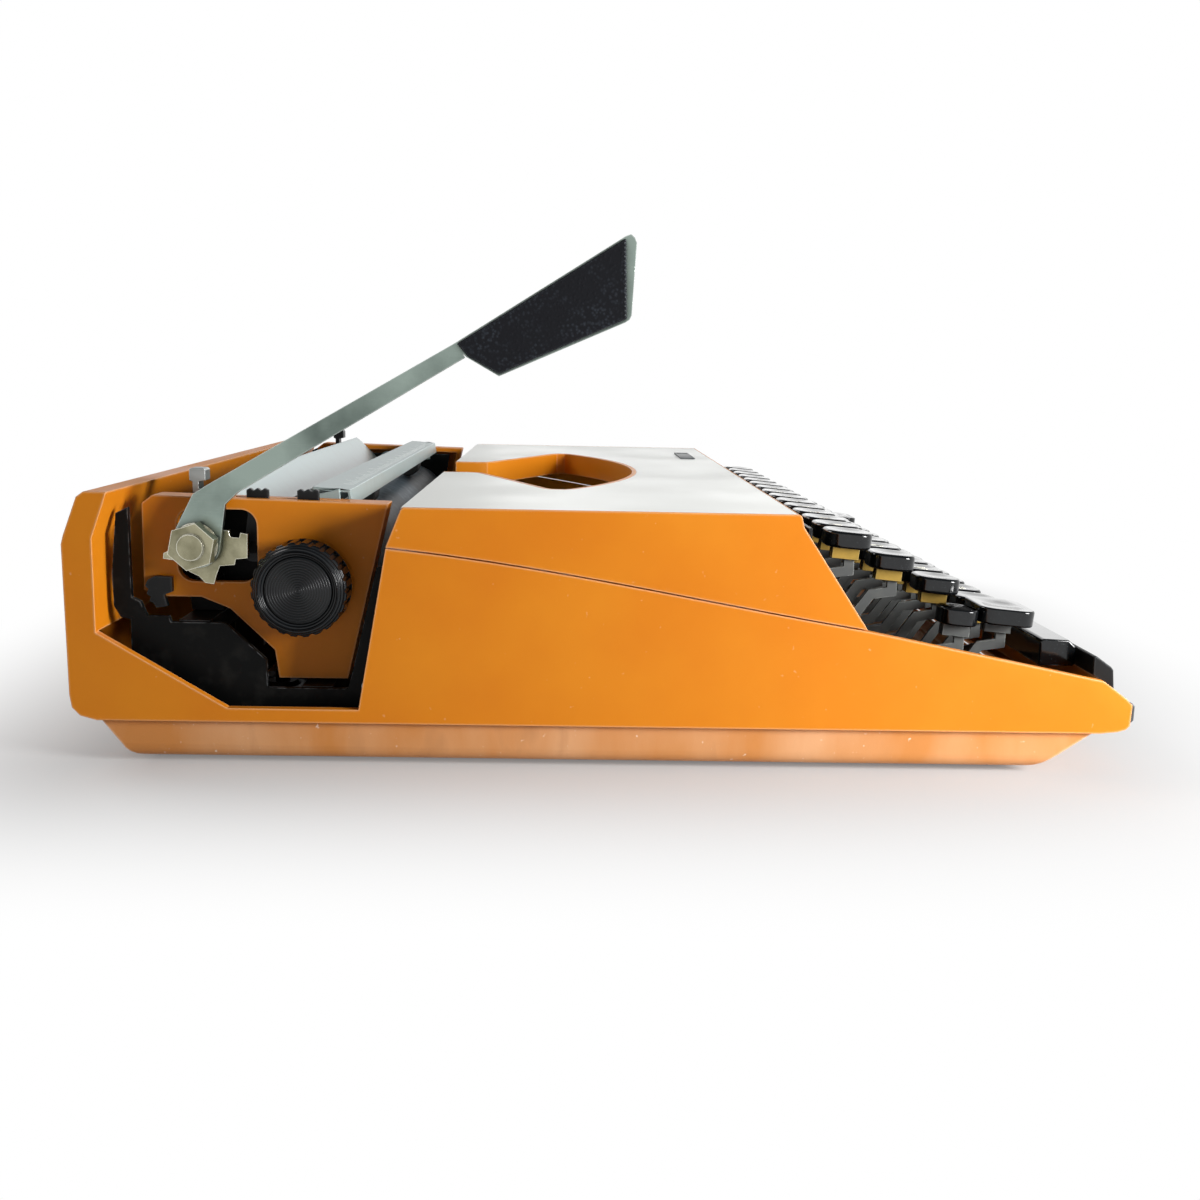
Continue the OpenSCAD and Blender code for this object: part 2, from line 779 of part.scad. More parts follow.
module end_cover_left() {
    color("#d9561b")
    mirror([1, 0, 0])
        difference() {
            end_cover();
            along_x(end_x - end_t - 1, end_x + 1)
                translate([bolt_y - 4.5, bolt_z - 1.2])
                    rounded(25, 23, 5);
            rod_x(0, half_w, 1.4 + run, release_y, release_z);
            box(tab_x - tab_t / 2 - 0.4, tab_x + tab_t / 2 + 0.4, platen_y - 13, platen_y + 23,
                rear_h - 8, rear_h + 5);
        }
}

module end_cover_right() {
    color("#d9561b")
    end_cover();
}

module paper_table() {
    color("#b4b9bb")
    along_x(-side_x + side_t, side_x - side_t)
        polygon(strip([[platen_y + 30, platen_z + 30.6], [platen_y + 28.4, platen_z + 29.4],
            [platen_y + 18.8, platen_z + 20], [platen_y + 19.4, platen_z + 2],
            [platen_y + 14, platen_z - 15]], 1.2));
}

module platen() {
    color("#3a444c")
    difference() {
        rod_x(-platen_half, platen_half, platen_r, platen_y, platen_z);
        rod_x(-half_w, half_w, axle_r + 0.02, platen_y, platen_z);
    }
}

module platen_shaft() {
    color("#8d9193") {
        rod_x(-knob_x - knob_l + 4, knob_x + knob_l - 4, axle_r, platen_y, platen_z);
        along_x(-platen_half - 3.4, -platen_half)
            translate([platen_y, platen_z])
                polygon([for (i = [0:47]) (i % 2 == 0 ? platen_r - 1.4 : platen_r - 3.2)
                    * [cos(i * 7.5 + (i % 2) * 3), sin(i * 7.5 + (i % 2) * 3)]]);
    }
}

module knob() {
    difference() {
        rotate_extrude()
            polygon([[axle_r + 0.03, 0], [knob_r - 1.6, 0], [knob_r, 1.6], [knob_r, knob_l - 3],
                [knob_r - 1.8, knob_l - 1], [knob_r - 2.6, knob_l - 0.7], [knob_r - 4, knob_l - 1.7],
                [knob_r - 4.4, knob_l - 2.2], [knob_r - 4.6, knob_l - 1.5], [0, knob_l - 1.5],
                [0, knob_l - 3.8], [axle_r + 0.03, knob_l - 3.8]]);
        for (i = [0:knob_n - 1])
            rotate([0, 0, i * 360 / knob_n])
                translate([knob_r + 0.5, 0, 1.8])
                    cylinder(h = knob_l, r = 1.2);
    }
}

module platen_knob_left() {
    color("#17181a")
    translate([-knob_x, platen_y, platen_z])
        rotate([0, -90, 0])
            knob();
}

module platen_knob_right() {
    color("#17181a")
    translate([knob_x, platen_y, platen_z])
        rotate([0, 90, 0])
            knob();
}

// The bracket's plate round the bolt, with a notched block in front and a claw below
bracket_plate = [[5.6, 3.6], [2.4, 6.4], [-3, 6.4], [-6, 4.6], [-9.4, 4.2], [-9.8, 2.2], [-12.6, 2],
    [-13, 3.6], [-15.2, 3.2], [-15, -4.4], [-11.4, -4.8], [-11, -6.6], [-6.4, -7], [-5.2, -10],
    [-4.4, -12.8], [-1.6, -12.4], [0.2, -10.4], [3, -9], [8, -5.4], [11.2, -5], [11, -3.2], [6, -1]];

module lever_bracket() {
    color("#bdb78f") {
        difference() {
            union() {
                translate([-pin_x, bolt_y, bolt_z - 11.5])
                    cylinder(h = 19, r = 3.4);
                box(-bracket_x - 1, -pin_x, bolt_y - 2, bolt_y + 2, bolt_z - 8, bolt_z + 6);
            }
            translate([-pin_x, bolt_y, 0])
                cylinder(h = 200, r = 1.9 + run);
        }
        along_x(-bracket_x - 2, -bracket_x)
            translate([bolt_y, bolt_z])
                polygon(bracket_plate);
    }
}

module lever_bolt() {
    color("#c4bd8d") {
        rod_x(-strap_x - strap_t - 7.4, -bracket_x - 2, bolt_r, bolt_y, bolt_z);
        translate([-strap_x - strap_t - 6.2, bolt_y, bolt_z])
            rotate([0, 90, 0])
                rotate([0, 0, 12])
                    cylinder(h = 5.2, r = nut_af / sqrt(3), $fn = 6);
        rod_x(-strap_x - strap_t - 1.1, -strap_x - strap_t - 0.1, strap_eye_r - 0.4, bolt_y, bolt_z);
    }
}

// The lever's arm and paddle, drawn along the arm from the bolt
arm_top = 14;
paddle = [[paddle_u, arm_top], [lever_len - 1.2, arm_top + 2.3], [lever_len + 0.5, arm_top + 2],
    [lever_len + 1, arm_top + 0.6], [lever_len + 0.8, arm_top - 1], [lever_len - 10.8, -4.8],
    [lever_len - 12, -5.6], [lever_len - 13.4, -5.7], [paddle_u + 7.2, -1], [paddle_u + 1.4, 8.8]];
// The grip's outer end is cut into fine teeth
grip_n = 18;
grip_top = [lever_len - 1.8, arm_top + 1.7];
grip_low = [lever_len - 13, -5];
grip_step = (grip_low - grip_top) / (2 * grip_n);
grip = concat([[paddle_u + 1, arm_top - 0.5]],
    [for (i = [0:2 * grip_n]) grip_top + i * grip_step + (i % 2) * 0.6 * left(unit(grip_step))],
    [[paddle_u + 7.6, -0.5], [paddle_u + 2, 8.6]]);

module on_lever(x0, x1) {
    along_x(x0, x1)
        translate([bolt_y, bolt_z])
            mirror([1, 0])
                rotate(lever_rise)
                    children();
}

module return_lever() {
    color("#a7ada6")
    difference() {
        union() {
            along_x(-strap_x - strap_t, -strap_x)
                translate([bolt_y, bolt_z]) {
                    circle(strap_eye_r);
                    polygon([[strap_eye_r, 0], [6.3, 4.6], [0.6, 15.6], [-3.7, 18.4], [-13.4, 16.6],
                        [-9.2, 12.6], [-strap_eye_r, 0]]);
                }
            on_lever(-strap_x - strap_t, -strap_x) {
                polygon([[12.5, arm_top], [paddle_u + 1, arm_top], [paddle_u + 1, 8.8], [19.8, 7.5],
                    [14, 9]]);
                polygon(paddle);
            }
        }
        rod_x(-half_w, half_w, bolt_r + run, bolt_y, bolt_z);
    }
}

module lever_grip() {
    color("#121314") {
        on_lever(-strap_x - strap_t - 2.4, -strap_x - strap_t)
            polygon(grip);
        on_lever(-strap_x, -strap_x + 2.4)
            polygon(grip);
    }
}

module paper_bail() {
    color("#c3c8c9") {
        both()
            along_x(side_x - side_t - 2, side_x - side_t - 0.5) {
                translate([bail_y, bail_z])
                    circle(4);
                polygon([[bail_y + 2, bail_z + 3.4], [bail_bar_y - 2.4, bail_bar_z + 7],
                        [bail_bar_y - 3.2, bail_bar_z - 2], [bail_bar_y + 2, bail_bar_z - 2.4],
                    [bail_y, bail_z - 3.8]]);
            }
        both()
            rod_x(side_x - side_t - 1, side_x - 0.4, 2, bail_y, bail_z);
        rod_x(-side_x + side_t + 1, side_x - side_t - 1, bail_axle_r, bail_bar_y, bail_bar_z);
        along_x(-side_x + side_t + 1.5, side_x - side_t - 1.5)
            polygon(strip([[bail_bar_y + 6.4, bail_bar_z + 7.6], [bail_bar_y - 5.8, bail_bar_z + 6.8],
                [bail_bar_y - 6.6, bail_bar_z + 1.6]], 1));
    }
}

module bail_rollers() {
    color("#202224")
    both()
        translate([side_x / 2 - 6, 0, 0])
            difference() {
                rod_x(0, 12, bail_roller_r, bail_bar_y, bail_bar_z);
                rod_x(-1, 13, bail_axle_r + run, bail_bar_y, bail_bar_z);
            }
}

module thumb_tab(y) {
    polygon([[y + 3.4, rear_h - 8], [y + 3.4, rear_h - 0.6], [y + 2.3, rear_h], [y + 1.2, rear_h - 0.8],
        [y, rear_h], [y - 1.2, rear_h - 0.8], [y - 2.3, rear_h], [y - 3.4, rear_h - 0.6],
        [y - 3.4, rear_h - 8]]);
}

module paper_release_lever() {
    color("#161718")
    difference() {
        along_x(-tab_x - tab_t / 2, -tab_x + tab_t / 2) {
            translate([platen_y + 17.5, platen_z + 10.5])
                circle(4.5);
            polygon([[platen_y + 20.5, platen_z + 10.5], [platen_y + 19, rear_h - 7.9],
                [platen_y + 12.6, rear_h - 7.9], [platen_y + 14, platen_z + 9]]);
            thumb_tab(platen_y + 15.9);
        }
        rod_x(-half_w, half_w, 2 + run, platen_y + 17.5, platen_z + 10.5);
    }
}

module line_space_selector() {
    color("#161718")
    difference() {
        along_x(-tab_x - tab_t / 2, -tab_x + tab_t / 2) {
            translate([platen_y, platen_z])
                circle(axle_r + 4);
            polygon([[platen_y + 4, platen_z + 4], [platen_y + 3, rear_h - 7.9],
                [platen_y - 3, rear_h - 7.9], [platen_y - 4, platen_z + 4]]);
            thumb_tab(platen_y);
        }
        rod_x(-half_w, half_w, axle_r + run, platen_y, platen_z);
    }
}

module carriage_release_lever() {
    color("#161718")
    translate([-end_x - 2.6, release_y, release_z])
        rotate([90, 0, 90]) {
            linear_extrude(2.2)
                polygon([[-2.6, 2.4], [-2.6, -2.4], [0, -3.4], [-1, -7], [2.6, -7.6], [3.4, -6],
                    [4.6, -5.6], [4.2, -4], [5.4, -3.2], [4.8, -1.6], [5.8, -0.6], [4.8, 1.4], [2.6, 2.6]]);
            cylinder(h = 5, r = 1.4);
        }
}

module margin_stop() {
    difference() {
        box(-4, 4, rack_y - 3.8, rack_y + 3.8, rack_z - 4, rack_z + 4);
        box(-5, 5, rack_y - 2.3, rack_y + 2.3, rack_z - 2.3, rack_z + 2.3);
    }
    along_x(-3, 3)
        polygon([[rack_y - 1, rack_z + 3.9], [rack_y + 1, rack_z + 3.9], [rack_y + 1, rear_h + 0.6],
            [rack_y + 2, rear_h + 1], [rack_y + 2, rear_h + 4.4], [rack_y + 1.4, rear_h + 5],
            [rack_y - 2.6, rear_h + 5], [rack_y - 3.2, rear_h + 4.4], [rack_y - 3.2, rear_h + 1],
            [rack_y - 1, rear_h + 0.6]]);
}

module margin_stop_left() {
    color("#9fa4a4")
    translate([-side_x + 8, 0, 0])
        margin_stop();
}

module margin_stop_right() {
    color("#1a1b1c")
    translate([side_x - 8, 0, 0])
        margin_stop();
}

// Keyboard

module at_place(x, y, z) {
    translate([x, y, z])
        rotate([key_tilt, 0, 0])
            children();
}

module at_key(k, x) {
    at_place(x, row_y[k], row_z[k])
        children();
}

module key_top(w, d) {
    difference() {
        translate([0, 0, -key_h])
            linear_extrude(key_h)
                rounded(w, d, key_corner);
        translate([0, 0, 32])
            rotate([90, 0, 0])
                sphere(32.6);
    }
}

module key_clip() {
    difference() {
        translate([-clip_w / 2, -4.5, -key_h - clip_h])
            cube([clip_w, 9, clip_h]);
        translate([-lever_t / 2 - 0.03, -5, -key_h - clip_h - 1])
            cube([lever_t + 0.06, 10, clip_h + 0.6]);
    }
}

// A key lever: a tab in the clip, a joggle down, a run under the basket and an eye on the shaft
module lever_strip(x, y, z, low) {
    along_x(x - lever_t / 2, x + lever_t / 2)
        difference() {
            union() {
                polygon(ribbon_strip([[y - 1, z - key_h - 1.2], [y - 1, z - 13.5], [y + 6, z - 14.5],
                    [y + 12, z - 23], [y + 19, z - 24], [comb_y - 6, low], [pivot_y - 8, pivot_z - 12],
                    [pivot_y, pivot_z]], lever_w));
                translate([pivot_y, pivot_z])
                    circle(eye_r);
            }
            translate([pivot_y, pivot_z])
                circle(shaft_r + run);
        }
}

module key_lever(k, x) {
    lever_strip(x, row_y[k], row_z[k], row_low[k]);
}

module row_tops(k) {
    for (i = [0:row_count[k] - 1])
        if (k != 2 || i != centre_i)
            at_key(k, key_x(k, i))
                key_top(key_size, key_size);
}

module row_clips(k) {
    for (i = [0:row_count[k] - 1])
        if (k != 2 || i != centre_i)
            at_key(k, key_x(k, i))
                key_clip();
}

module row_levers(k) {
    for (i = [0:row_count[k] - 1])
        if (k != 2 || i != centre_i)
            key_lever(k, key_x(k, i));
}

module number_row_tops() {
    color("#101112")
    row_tops(0);
}

module number_row_clips() {
    color("#b08a3c")
    row_clips(0);
}

module number_row_levers() {
    color("#9b9f9f")
    row_levers(0);
}

module upper_row_tops() {
    color("#101112")
    row_tops(1);
}

module upper_row_clips() {
    color("#b08a3c")
    row_clips(1);
}

module upper_row_levers() {
    color("#9b9f9f")
    row_levers(1);
}

module home_row_tops() {
    color("#101112")
    row_tops(2);
}

module home_row_clips() {
    color("#b08a3c")
    row_clips(2);
}

module home_row_levers() {
    color("#9b9f9f")
    row_levers(2);
}

module lower_row_tops() {
    color("#101112")
    row_tops(3);
}

module lower_row_clips() {
    color("#b08a3c")
    row_clips(3);
}

module lower_row_levers() {
    color("#9b9f9f")
    row_levers(3);
}

module centre_key_top() {
    color("#101112")
    at_key(2, key_x(2, centre_i))
        key_top(key_size, key_size);
}

module centre_key_lever() {
    color("#9b9f9f") {
        key_lever(2, key_x(2, centre_i));
        at_key(2, key_x(2, centre_i))
            key_clip();
    }
}

module space_bar() {
    color("#111213")
    along_x(-space_half, space_half)
        polygon([[space_y - space_d / 2, space_z - space_h], [space_y + space_d / 2, space_z - space_h],
            [space_y + space_d / 2, space_z - 1], [space_y + space_d / 2 - 1, space_z],
            [space_y - space_d / 2 + 2.4, space_z - 0.4], [space_y - space_d / 2, space_z - 2.4]]);
}

module space_arms() {
    color("#8f9394")
    for (x = [-space_arm_x, space_arm_x])
        along_x(x - lever_t / 2, x + lever_t / 2)
            difference() {
                union() {
                    polygon(ribbon_strip([[space_y, space_z - space_h], [space_y, 24], [space_y + 9, 21],
                        [comb_y - 6, 12.6], [pivot_y - 8, pivot_z - 13], [pivot_y, pivot_z]], lever_w));
                    translate([pivot_y, pivot_z])
                        circle(eye_r);
                }
                translate([pivot_y, pivot_z])
                    circle(shaft_r + run);
            }
}

module shift_key_tops() {
    color("#101112")
    for (p = shift_keys)
        at_place(p[0], p[1], p[2])
            key_top(p[3], p[4]);
}

module shift_arms() {
    color("#9b9f9f")
    for (p = shift_keys) {
        lever_strip(p[0], p[1], p[2], row_low[3]);
        at_place(p[0], p[1], p[2])
            key_clip();
    }
}

base_tub();
rubber_feet();
body_shell();
front_trim();
front_bumper();
frame_screws();
main_frame();
carriage_rails();
key_shaft();
key_comb();
keyboard_shield();
ribbon_deck();
type_guide();
ribbon();
line_bell();
spring_drum();
cover_frame();
cover_panel();
type_segment();
typebars();
centre_typebar();
ribbon_spool_left();
ribbon_spool_right();
carriage_frame();
end_cover_left();
end_cover_right();
paper_table();
platen();
platen_shaft();
platen_knob_left();
platen_knob_right();
lever_bracket();
lever_bolt();
return_lever();
lever_grip();
paper_bail();
bail_rollers();
paper_release_lever();
line_space_selector();
carriage_release_lever();
margin_stop_left();
margin_stop_right();
number_row_tops();
number_row_clips();
number_row_levers();
upper_row_tops();
upper_row_clips();
upper_row_levers();
home_row_tops();
home_row_clips();
home_row_levers();
lower_row_tops();
lower_row_clips();
lower_row_levers();
centre_key_top();
centre_key_lever();
space_bar();
space_arms();
shift_key_tops();
shift_arms();
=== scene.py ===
"""Looks of a flat portable typewriter: its finishes, its small trim, the studio and the camera."""

import logging
import math
from dataclasses import dataclass
from enum import Enum
from typing import Mapping, Optional, Sequence, Union

import bmesh
import bpy
from bpy.types import Node, NodeSocket, NodeTree
from mathutils import Matrix, Vector


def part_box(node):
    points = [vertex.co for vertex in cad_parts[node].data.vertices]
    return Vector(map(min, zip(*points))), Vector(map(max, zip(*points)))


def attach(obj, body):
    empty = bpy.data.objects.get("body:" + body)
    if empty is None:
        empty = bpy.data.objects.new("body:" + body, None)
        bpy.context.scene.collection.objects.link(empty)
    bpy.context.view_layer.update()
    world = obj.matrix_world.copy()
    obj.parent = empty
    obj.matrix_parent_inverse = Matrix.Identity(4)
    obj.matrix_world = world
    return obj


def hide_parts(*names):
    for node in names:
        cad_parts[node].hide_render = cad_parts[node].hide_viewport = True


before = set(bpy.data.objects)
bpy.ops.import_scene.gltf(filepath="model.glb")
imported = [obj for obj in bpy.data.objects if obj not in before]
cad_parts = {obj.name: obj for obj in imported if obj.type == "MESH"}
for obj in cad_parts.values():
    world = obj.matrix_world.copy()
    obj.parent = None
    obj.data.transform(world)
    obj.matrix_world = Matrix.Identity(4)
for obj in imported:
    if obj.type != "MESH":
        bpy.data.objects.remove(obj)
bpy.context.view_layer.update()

LOG = logging.getLogger("typewriter")
MM = 0.001
TURN = 2 * math.pi
WELD_GAP = 0.01 * MM
FLAT_ANGLE = math.radians(0.5)
SMOOTH_ANGLE = math.radians(30)
EDGE_ANGLE = math.radians(38)
ABS_IOR = 1.52
MIX_A, MIX_B = 6, 7  # The colour inputs of a mix node.
WHITE = (1.0, 1.0, 1.0, 1.0)
Key = Union[int, str]
Source = Union[Node, NodeSocket]
Pair = tuple[float, float]
Triple = tuple[float, float, float]


def linear(code: str) -> tuple[float, float, float, float]:
    """Turns an sRGB hex colour into linear RGBA.

    Args:
        code: A colour such as "#d9711c".

    Returns:
        The linear red, green and blue with an alpha of 1.
    """
    channels = [int(code[i:i + 2], 16) / 255 for i in (1, 3, 5)]
    rgb = [c / 12.92 if c <= 0.04045 else ((c + 0.055) / 1.055) ** 2.4 for c in channels]
    return (rgb[0], rgb[1], rgb[2], 1.0)


def per_metre(size_mm: float) -> float:
    """The texture scale at which one feature is size_mm across.

    Args:
        size_mm: The real width of a feature.

    Returns:
        Features in a metre.
    """
    return 1.0 / (size_mm * MM)


def add_node(
    tree: NodeTree,
    kind: str,
    settings: Optional[Mapping[Key, object]] = None,
    links: Optional[Mapping[Key, Source]] = None,
) -> Node:
    """Adds a node with its settings and links.

    Args:
        tree: The node tree to add to.
        kind: Blender's name of the node type.
        settings: Socket values by socket name or number, or node properties by name.
        links: What feeds this node's inputs, by socket name or number. A node stands for its first output in use.

    Returns:
        The new node.
    """
    node = tree.nodes.new(kind)
    values = settings or {}
    properties = [name for name in values if isinstance(name, str) and hasattr(node, name)]
    for name in properties:
        setattr(node, name, values[name])
    for name in [name for name in values if name not in properties]:
        node.inputs[name].default_value = values[name]
    for name, source in (links or {}).items():
        if isinstance(source, Node):
            source = next(socket for socket in source.outputs if socket.enabled)
        tree.links.new(source, node.inputs[name])
    return node


class Lay(Enum):
    """The direction in which a surface was drawn, ground or brushed, as a stretch of its grain."""

    ALONG_Y = (1.0, 0.04, 1.0)
    EVEN = (1.0, 1.0, 1.0)


def worn_and_highlit_edges(tree: NodeTree, width_mm: float, most: float) -> Node:
    """Finds the edges, where hands, cases and tools rub a surface, and where some finishes lay a painted highlight.

    Args:
        tree: The material's node tree.
        width_mm: How far the rubbing reaches from the edge.
        most: The level on the edge itself.

    Returns:
        A node that gives the level, 0 away from the edges.
    """
    soft = add_node(tree, "ShaderNodeBevel", {"samples": 4, "Radius": width_mm * MM})
    flat = add_node(tree, "ShaderNodeNewGeometry")
    same = add_node(tree, "ShaderNodeVectorMath", {"operation": "DOT_PRODUCT"}, {0: soft, 1: flat.outputs["Normal"]})
    return add_node(tree, "ShaderNodeMapRange", {"From Min": 0.985, "From Max": 0.86, "To Max": most}, {"Value": same})


def painted_corner_shade(tree: NodeTree, reach_mm: float, most: float) -> Node:
    """Finds the corners and crevices, where shade falls, to paint shade into them.

    Args:
        tree: The material's node tree.
        reach_mm: How far the painted shade reaches from the corner.
        most: The level in the corner itself.

    Returns:
        A node that gives the level, 0 on open faces.
    """
    shade = add_node(tree, "ShaderNodeAmbientOcclusion", {"samples": 4, "Distance": reach_mm * MM})
    return add_node(tree, "ShaderNodeMapRange", {
        "From Min": 0.85, "From Max": 0.25, "To Max": most}, {"Value": shade.outputs["AO"]})


def blotches(
    tree: NodeTree, where: Source, size_mm: float, detail: float, band: Pair, levels: Pair = (0.0, 1.0),
) -> Node:
    """Spreads soft blotches over a surface.

    Args:
        tree: The material's node tree.
        where: The place on the object.
        size_mm: Distance between blotches.
        detail: Octaves that roughen their outlines.
        band: The noise at which a blotch starts and at which it is full.
        levels: The levels outside and inside a blotch.

    Returns:
        A node that gives the level.
    """
    cloud = add_node(tree, "ShaderNodeTexNoise", {"Scale": per_metre(size_mm), "Detail": detail}, {"Vector": where})
    return add_node(tree, "ShaderNodeMapRange", {
        "From Min": band[0], "From Max": band[1], "To Min": levels[0], "To Max": levels[1]}, {"Value": cloud})


@dataclass(frozen=True)
class Finish:
    """A finish: a base colour and roughness, on which each kind makes its own surface.

    Attributes:
        name: What the real material is and how its surface was made.
        colour: Base colour as sRGB hex.
        roughness: Mean roughness.
    """

    name: str
    colour: str
    roughness: float

    def material(self) -> bpy.types.Material:
        """Gives the material of this finish.

        Returns:
            The material, made when it is first asked for.
        """
        made = bpy.data.materials.get(self.name)
        if made is None:
            made = bpy.data.materials.new(self.name)
            made.use_nodes = True
            tree = made.node_tree
            tree.nodes.clear()
            where = add_node(tree, "ShaderNodeTexCoord").outputs["Object"]
            add_node(tree, "ShaderNodeOutputMaterial", links={"Surface": self.paint(tree, where)})
        return made

    def paint(self, tree: NodeTree, where: Source) -> Node:
        """Makes the surface of this kind of finish.

        Args:
            tree: The material's node tree.
            where: The place on the object.

        Returns:
            Its principled shader.
        """
        raise NotImplementedError

    def skin(
        self,
        tree: NodeTree,
        layers: Sequence[tuple[str, Source]],
        height: Source,
        depth_mm: float,
        settings: Mapping[Key, object],
        rough: Optional[Source] = None,
    ) -> Node:
        """Lays tones over the base colour and joins them and a relief to the shader.

        Args:
            tree: The material's node tree.
            layers: The tone and the level of each layer, from the lowest.
            height: The relief.
            depth_mm: Its depth.
            settings: Further values of the shader.
            rough: The roughness where it varies.

        Returns:
            The principled shader.
        """
        below: dict[Key, Source] = {}
        for tone, level in layers:
            below = {MIX_A: add_node(tree, "ShaderNodeMix", {
                "data_type": "RGBA", MIX_A: linear(self.colour), MIX_B: linear(tone)}, {0: level, **below})}
        relief = add_node(tree, "ShaderNodeBump", {"Distance": depth_mm * MM}, {"Height": height})
        links = {"Base Color": below[MIX_A], "Normal": relief}
        if rough is not None:
            links["Roughness"] = rough
        return add_node(tree, "ShaderNodeBsdfPrincipled", {"Roughness": self.roughness, **settings}, links)


@dataclass(frozen=True)
class MouldedPlastic(Finish):
    """A moulded plastic wall: cloudy tone from the melt's flow, spark grain, pale specks and pale edges, rubbed and
    partly a painted highlight.

    Attributes:
        cloud: Tone where the melt cooled slower.
        rubbed: Tone of specks and of the pale edges, which are rubbed and partly a painted highlight.
        grain_mm: Width of the mould's spark grain, drawn about three times too coarse so that it shows.
        grain_depth_mm: Depth of that grain.
        specks: Share of the rubbed tone in a speck.
        worn: Share of the pale tone on the edges, wear and painted highlight.
        gloss: Specular level.
        flow_mm: Size of the clouds.
        speck_mm: Distance between specks, which are much smaller.
        edge_mm: How far the pale edges reach.
    """

    cloud: str = "#ffffff"
    rubbed: str = "#ffffff"
    grain_mm: float = 0.9
    grain_depth_mm: float = 0.012
    specks: float = 0.3
    worn: float = 0.45
    gloss: float = 0.5
    flow_mm: float = 45.0
    speck_mm: float = 2.4
    edge_mm: float = 1.1

    def paint(self, tree: NodeTree, where: Source) -> Node:
        """Makes flow clouds, specks, pale edges and grain; the pale edges are rubbed and partly a painted highlight.
        """
        slow = blotches(tree, where, self.flow_mm, detail=4.0, band=(0.35, 0.68))
        speck = blotches(tree, where, self.speck_mm, detail=2.0, band=(0.74, 0.79), levels=(0.0, self.specks))
        # Pale edges: rubbed wear, and partly a painted highlight.
        edges = worn_and_highlit_edges(tree, self.edge_mm, self.worn)
        dull = add_node(tree, "ShaderNodeMapRange", {
            "To Min": self.roughness - 0.05, "To Max": self.roughness + 0.08}, {"Value": slow})
        grain = add_node(tree, "ShaderNodeTexNoise", {
            "Scale": per_metre(self.grain_mm), "Detail": 2.0}, {"Vector": where})
        return self.skin(tree, ((self.cloud, slow), (self.rubbed, speck), (self.rubbed, edges)), grain,
                         self.grain_depth_mm, {"IOR": ABS_IOR, "Specular IOR Level": self.gloss}, dull)


@dataclass(frozen=True)
class HandledPlastic(Finish):
    """A plastic tub long in use: a milky film wiped up and down, brown stains, white specks and rubbed rims.

    Attributes:
        film: Tone of the film.
        stain: Tone of the stains.
        rubbed: Tone of specks and rims.
        filmed: Share of the film at most.
        smear_mm: Width of one wipe.
        speck_mm: Distance between specks, which are much smaller.
        edge_mm: How far the rims are rubbed.
        grain_mm: Width of the spark grain, drawn about twice too coarse so that it shows.
        grain_depth_mm: Depth of that grain.
    """

    film: str = "#ffffff"
    stain: str = "#000000"
    rubbed: str = "#ffffff"
    filmed: float = 0.6
    smear_mm: float = 26.0
    speck_mm: float = 2.0
    edge_mm: float = 1.2
    grain_mm: float = 0.7
    grain_depth_mm: float = 0.02

    def paint(self, tree: NodeTree, where: Source) -> Node:
        """Makes the film, stains, specks, rims and grain."""
        upright = add_node(tree, "ShaderNodeMapping", {"Scale": (1.0, 1.0, 0.35)}, {"Vector": where})
        milky = blotches(tree, upright, self.smear_mm, detail=5.0, band=(0.36, 0.66), levels=(0.0, self.filmed))
        brown = blotches(tree, upright, self.smear_mm / 2, detail=4.0, band=(0.58, 0.74), levels=(0.0, 0.5))
        speck = blotches(tree, where, self.speck_mm, detail=2.0, band=(0.7, 0.76), levels=(0.0, 0.7))
        rims = worn_and_highlit_edges(tree, self.edge_mm, most=0.5)
        dull = add_node(tree, "ShaderNodeMapRange", {
            "From Max": self.filmed, "To Min": self.roughness - 0.08, "To Max": self.roughness + 0.12},
            {"Value": milky})
        grain = add_node(tree, "ShaderNodeTexNoise", {
            "Scale": per_metre(self.grain_mm), "Detail": 2.0}, {"Vector": where})
        layers = ((self.film, milky), (self.stain, brown), (self.rubbed, speck), (self.rubbed, rims))
        return self.skin(tree, layers, grain, self.grain_depth_mm, {"IOR": ABS_IOR, "Specular IOR Level": 0.25}, dull)


@dataclass(frozen=True)
class PolishedPlastic(Finish):
    """Polished black plastic: a mirror skin with fine dust and finger marks.

    Attributes:
        dust: Tone of the dust.
        gloss: Specular level.
        speck_mm: Size of a dust speck, drawn several times too coarse so that it shows.
        finger_mm: Size of a finger mark.
        ripple_mm: Distance between the skin's faint ripples.
        ripple_depth_mm: Their depth.
    """

    dust: str = "#6d767a"
    gloss: float = 0.5
    speck_mm: float = 0.7
    finger_mm: float = 9.0
    ripple_mm: float = 3.5
    ripple_depth_mm: float = 0.004

    def paint(self, tree: NodeTree, where: Source) -> Node:
        """Makes dust and finger marks."""
        sparse = blotches(tree, where, self.speck_mm, detail=4.0, band=(0.64, 0.8), levels=(0.0, 0.3))
        smear = blotches(tree, where, self.finger_mm, detail=3.0, band=(0.35, 0.65),
                         levels=(self.roughness * 0.7, self.roughness * 1.7))
        ripple = add_node(tree, "ShaderNodeTexNoise", {
            "Scale": per_metre(self.ripple_mm), "Detail": 1.0}, {"Vector": where})
        return self.skin(tree, ((self.dust, sparse),), ripple, self.ripple_depth_mm,
                         {"IOR": 1.5, "Specular IOR Level": self.gloss}, smear)


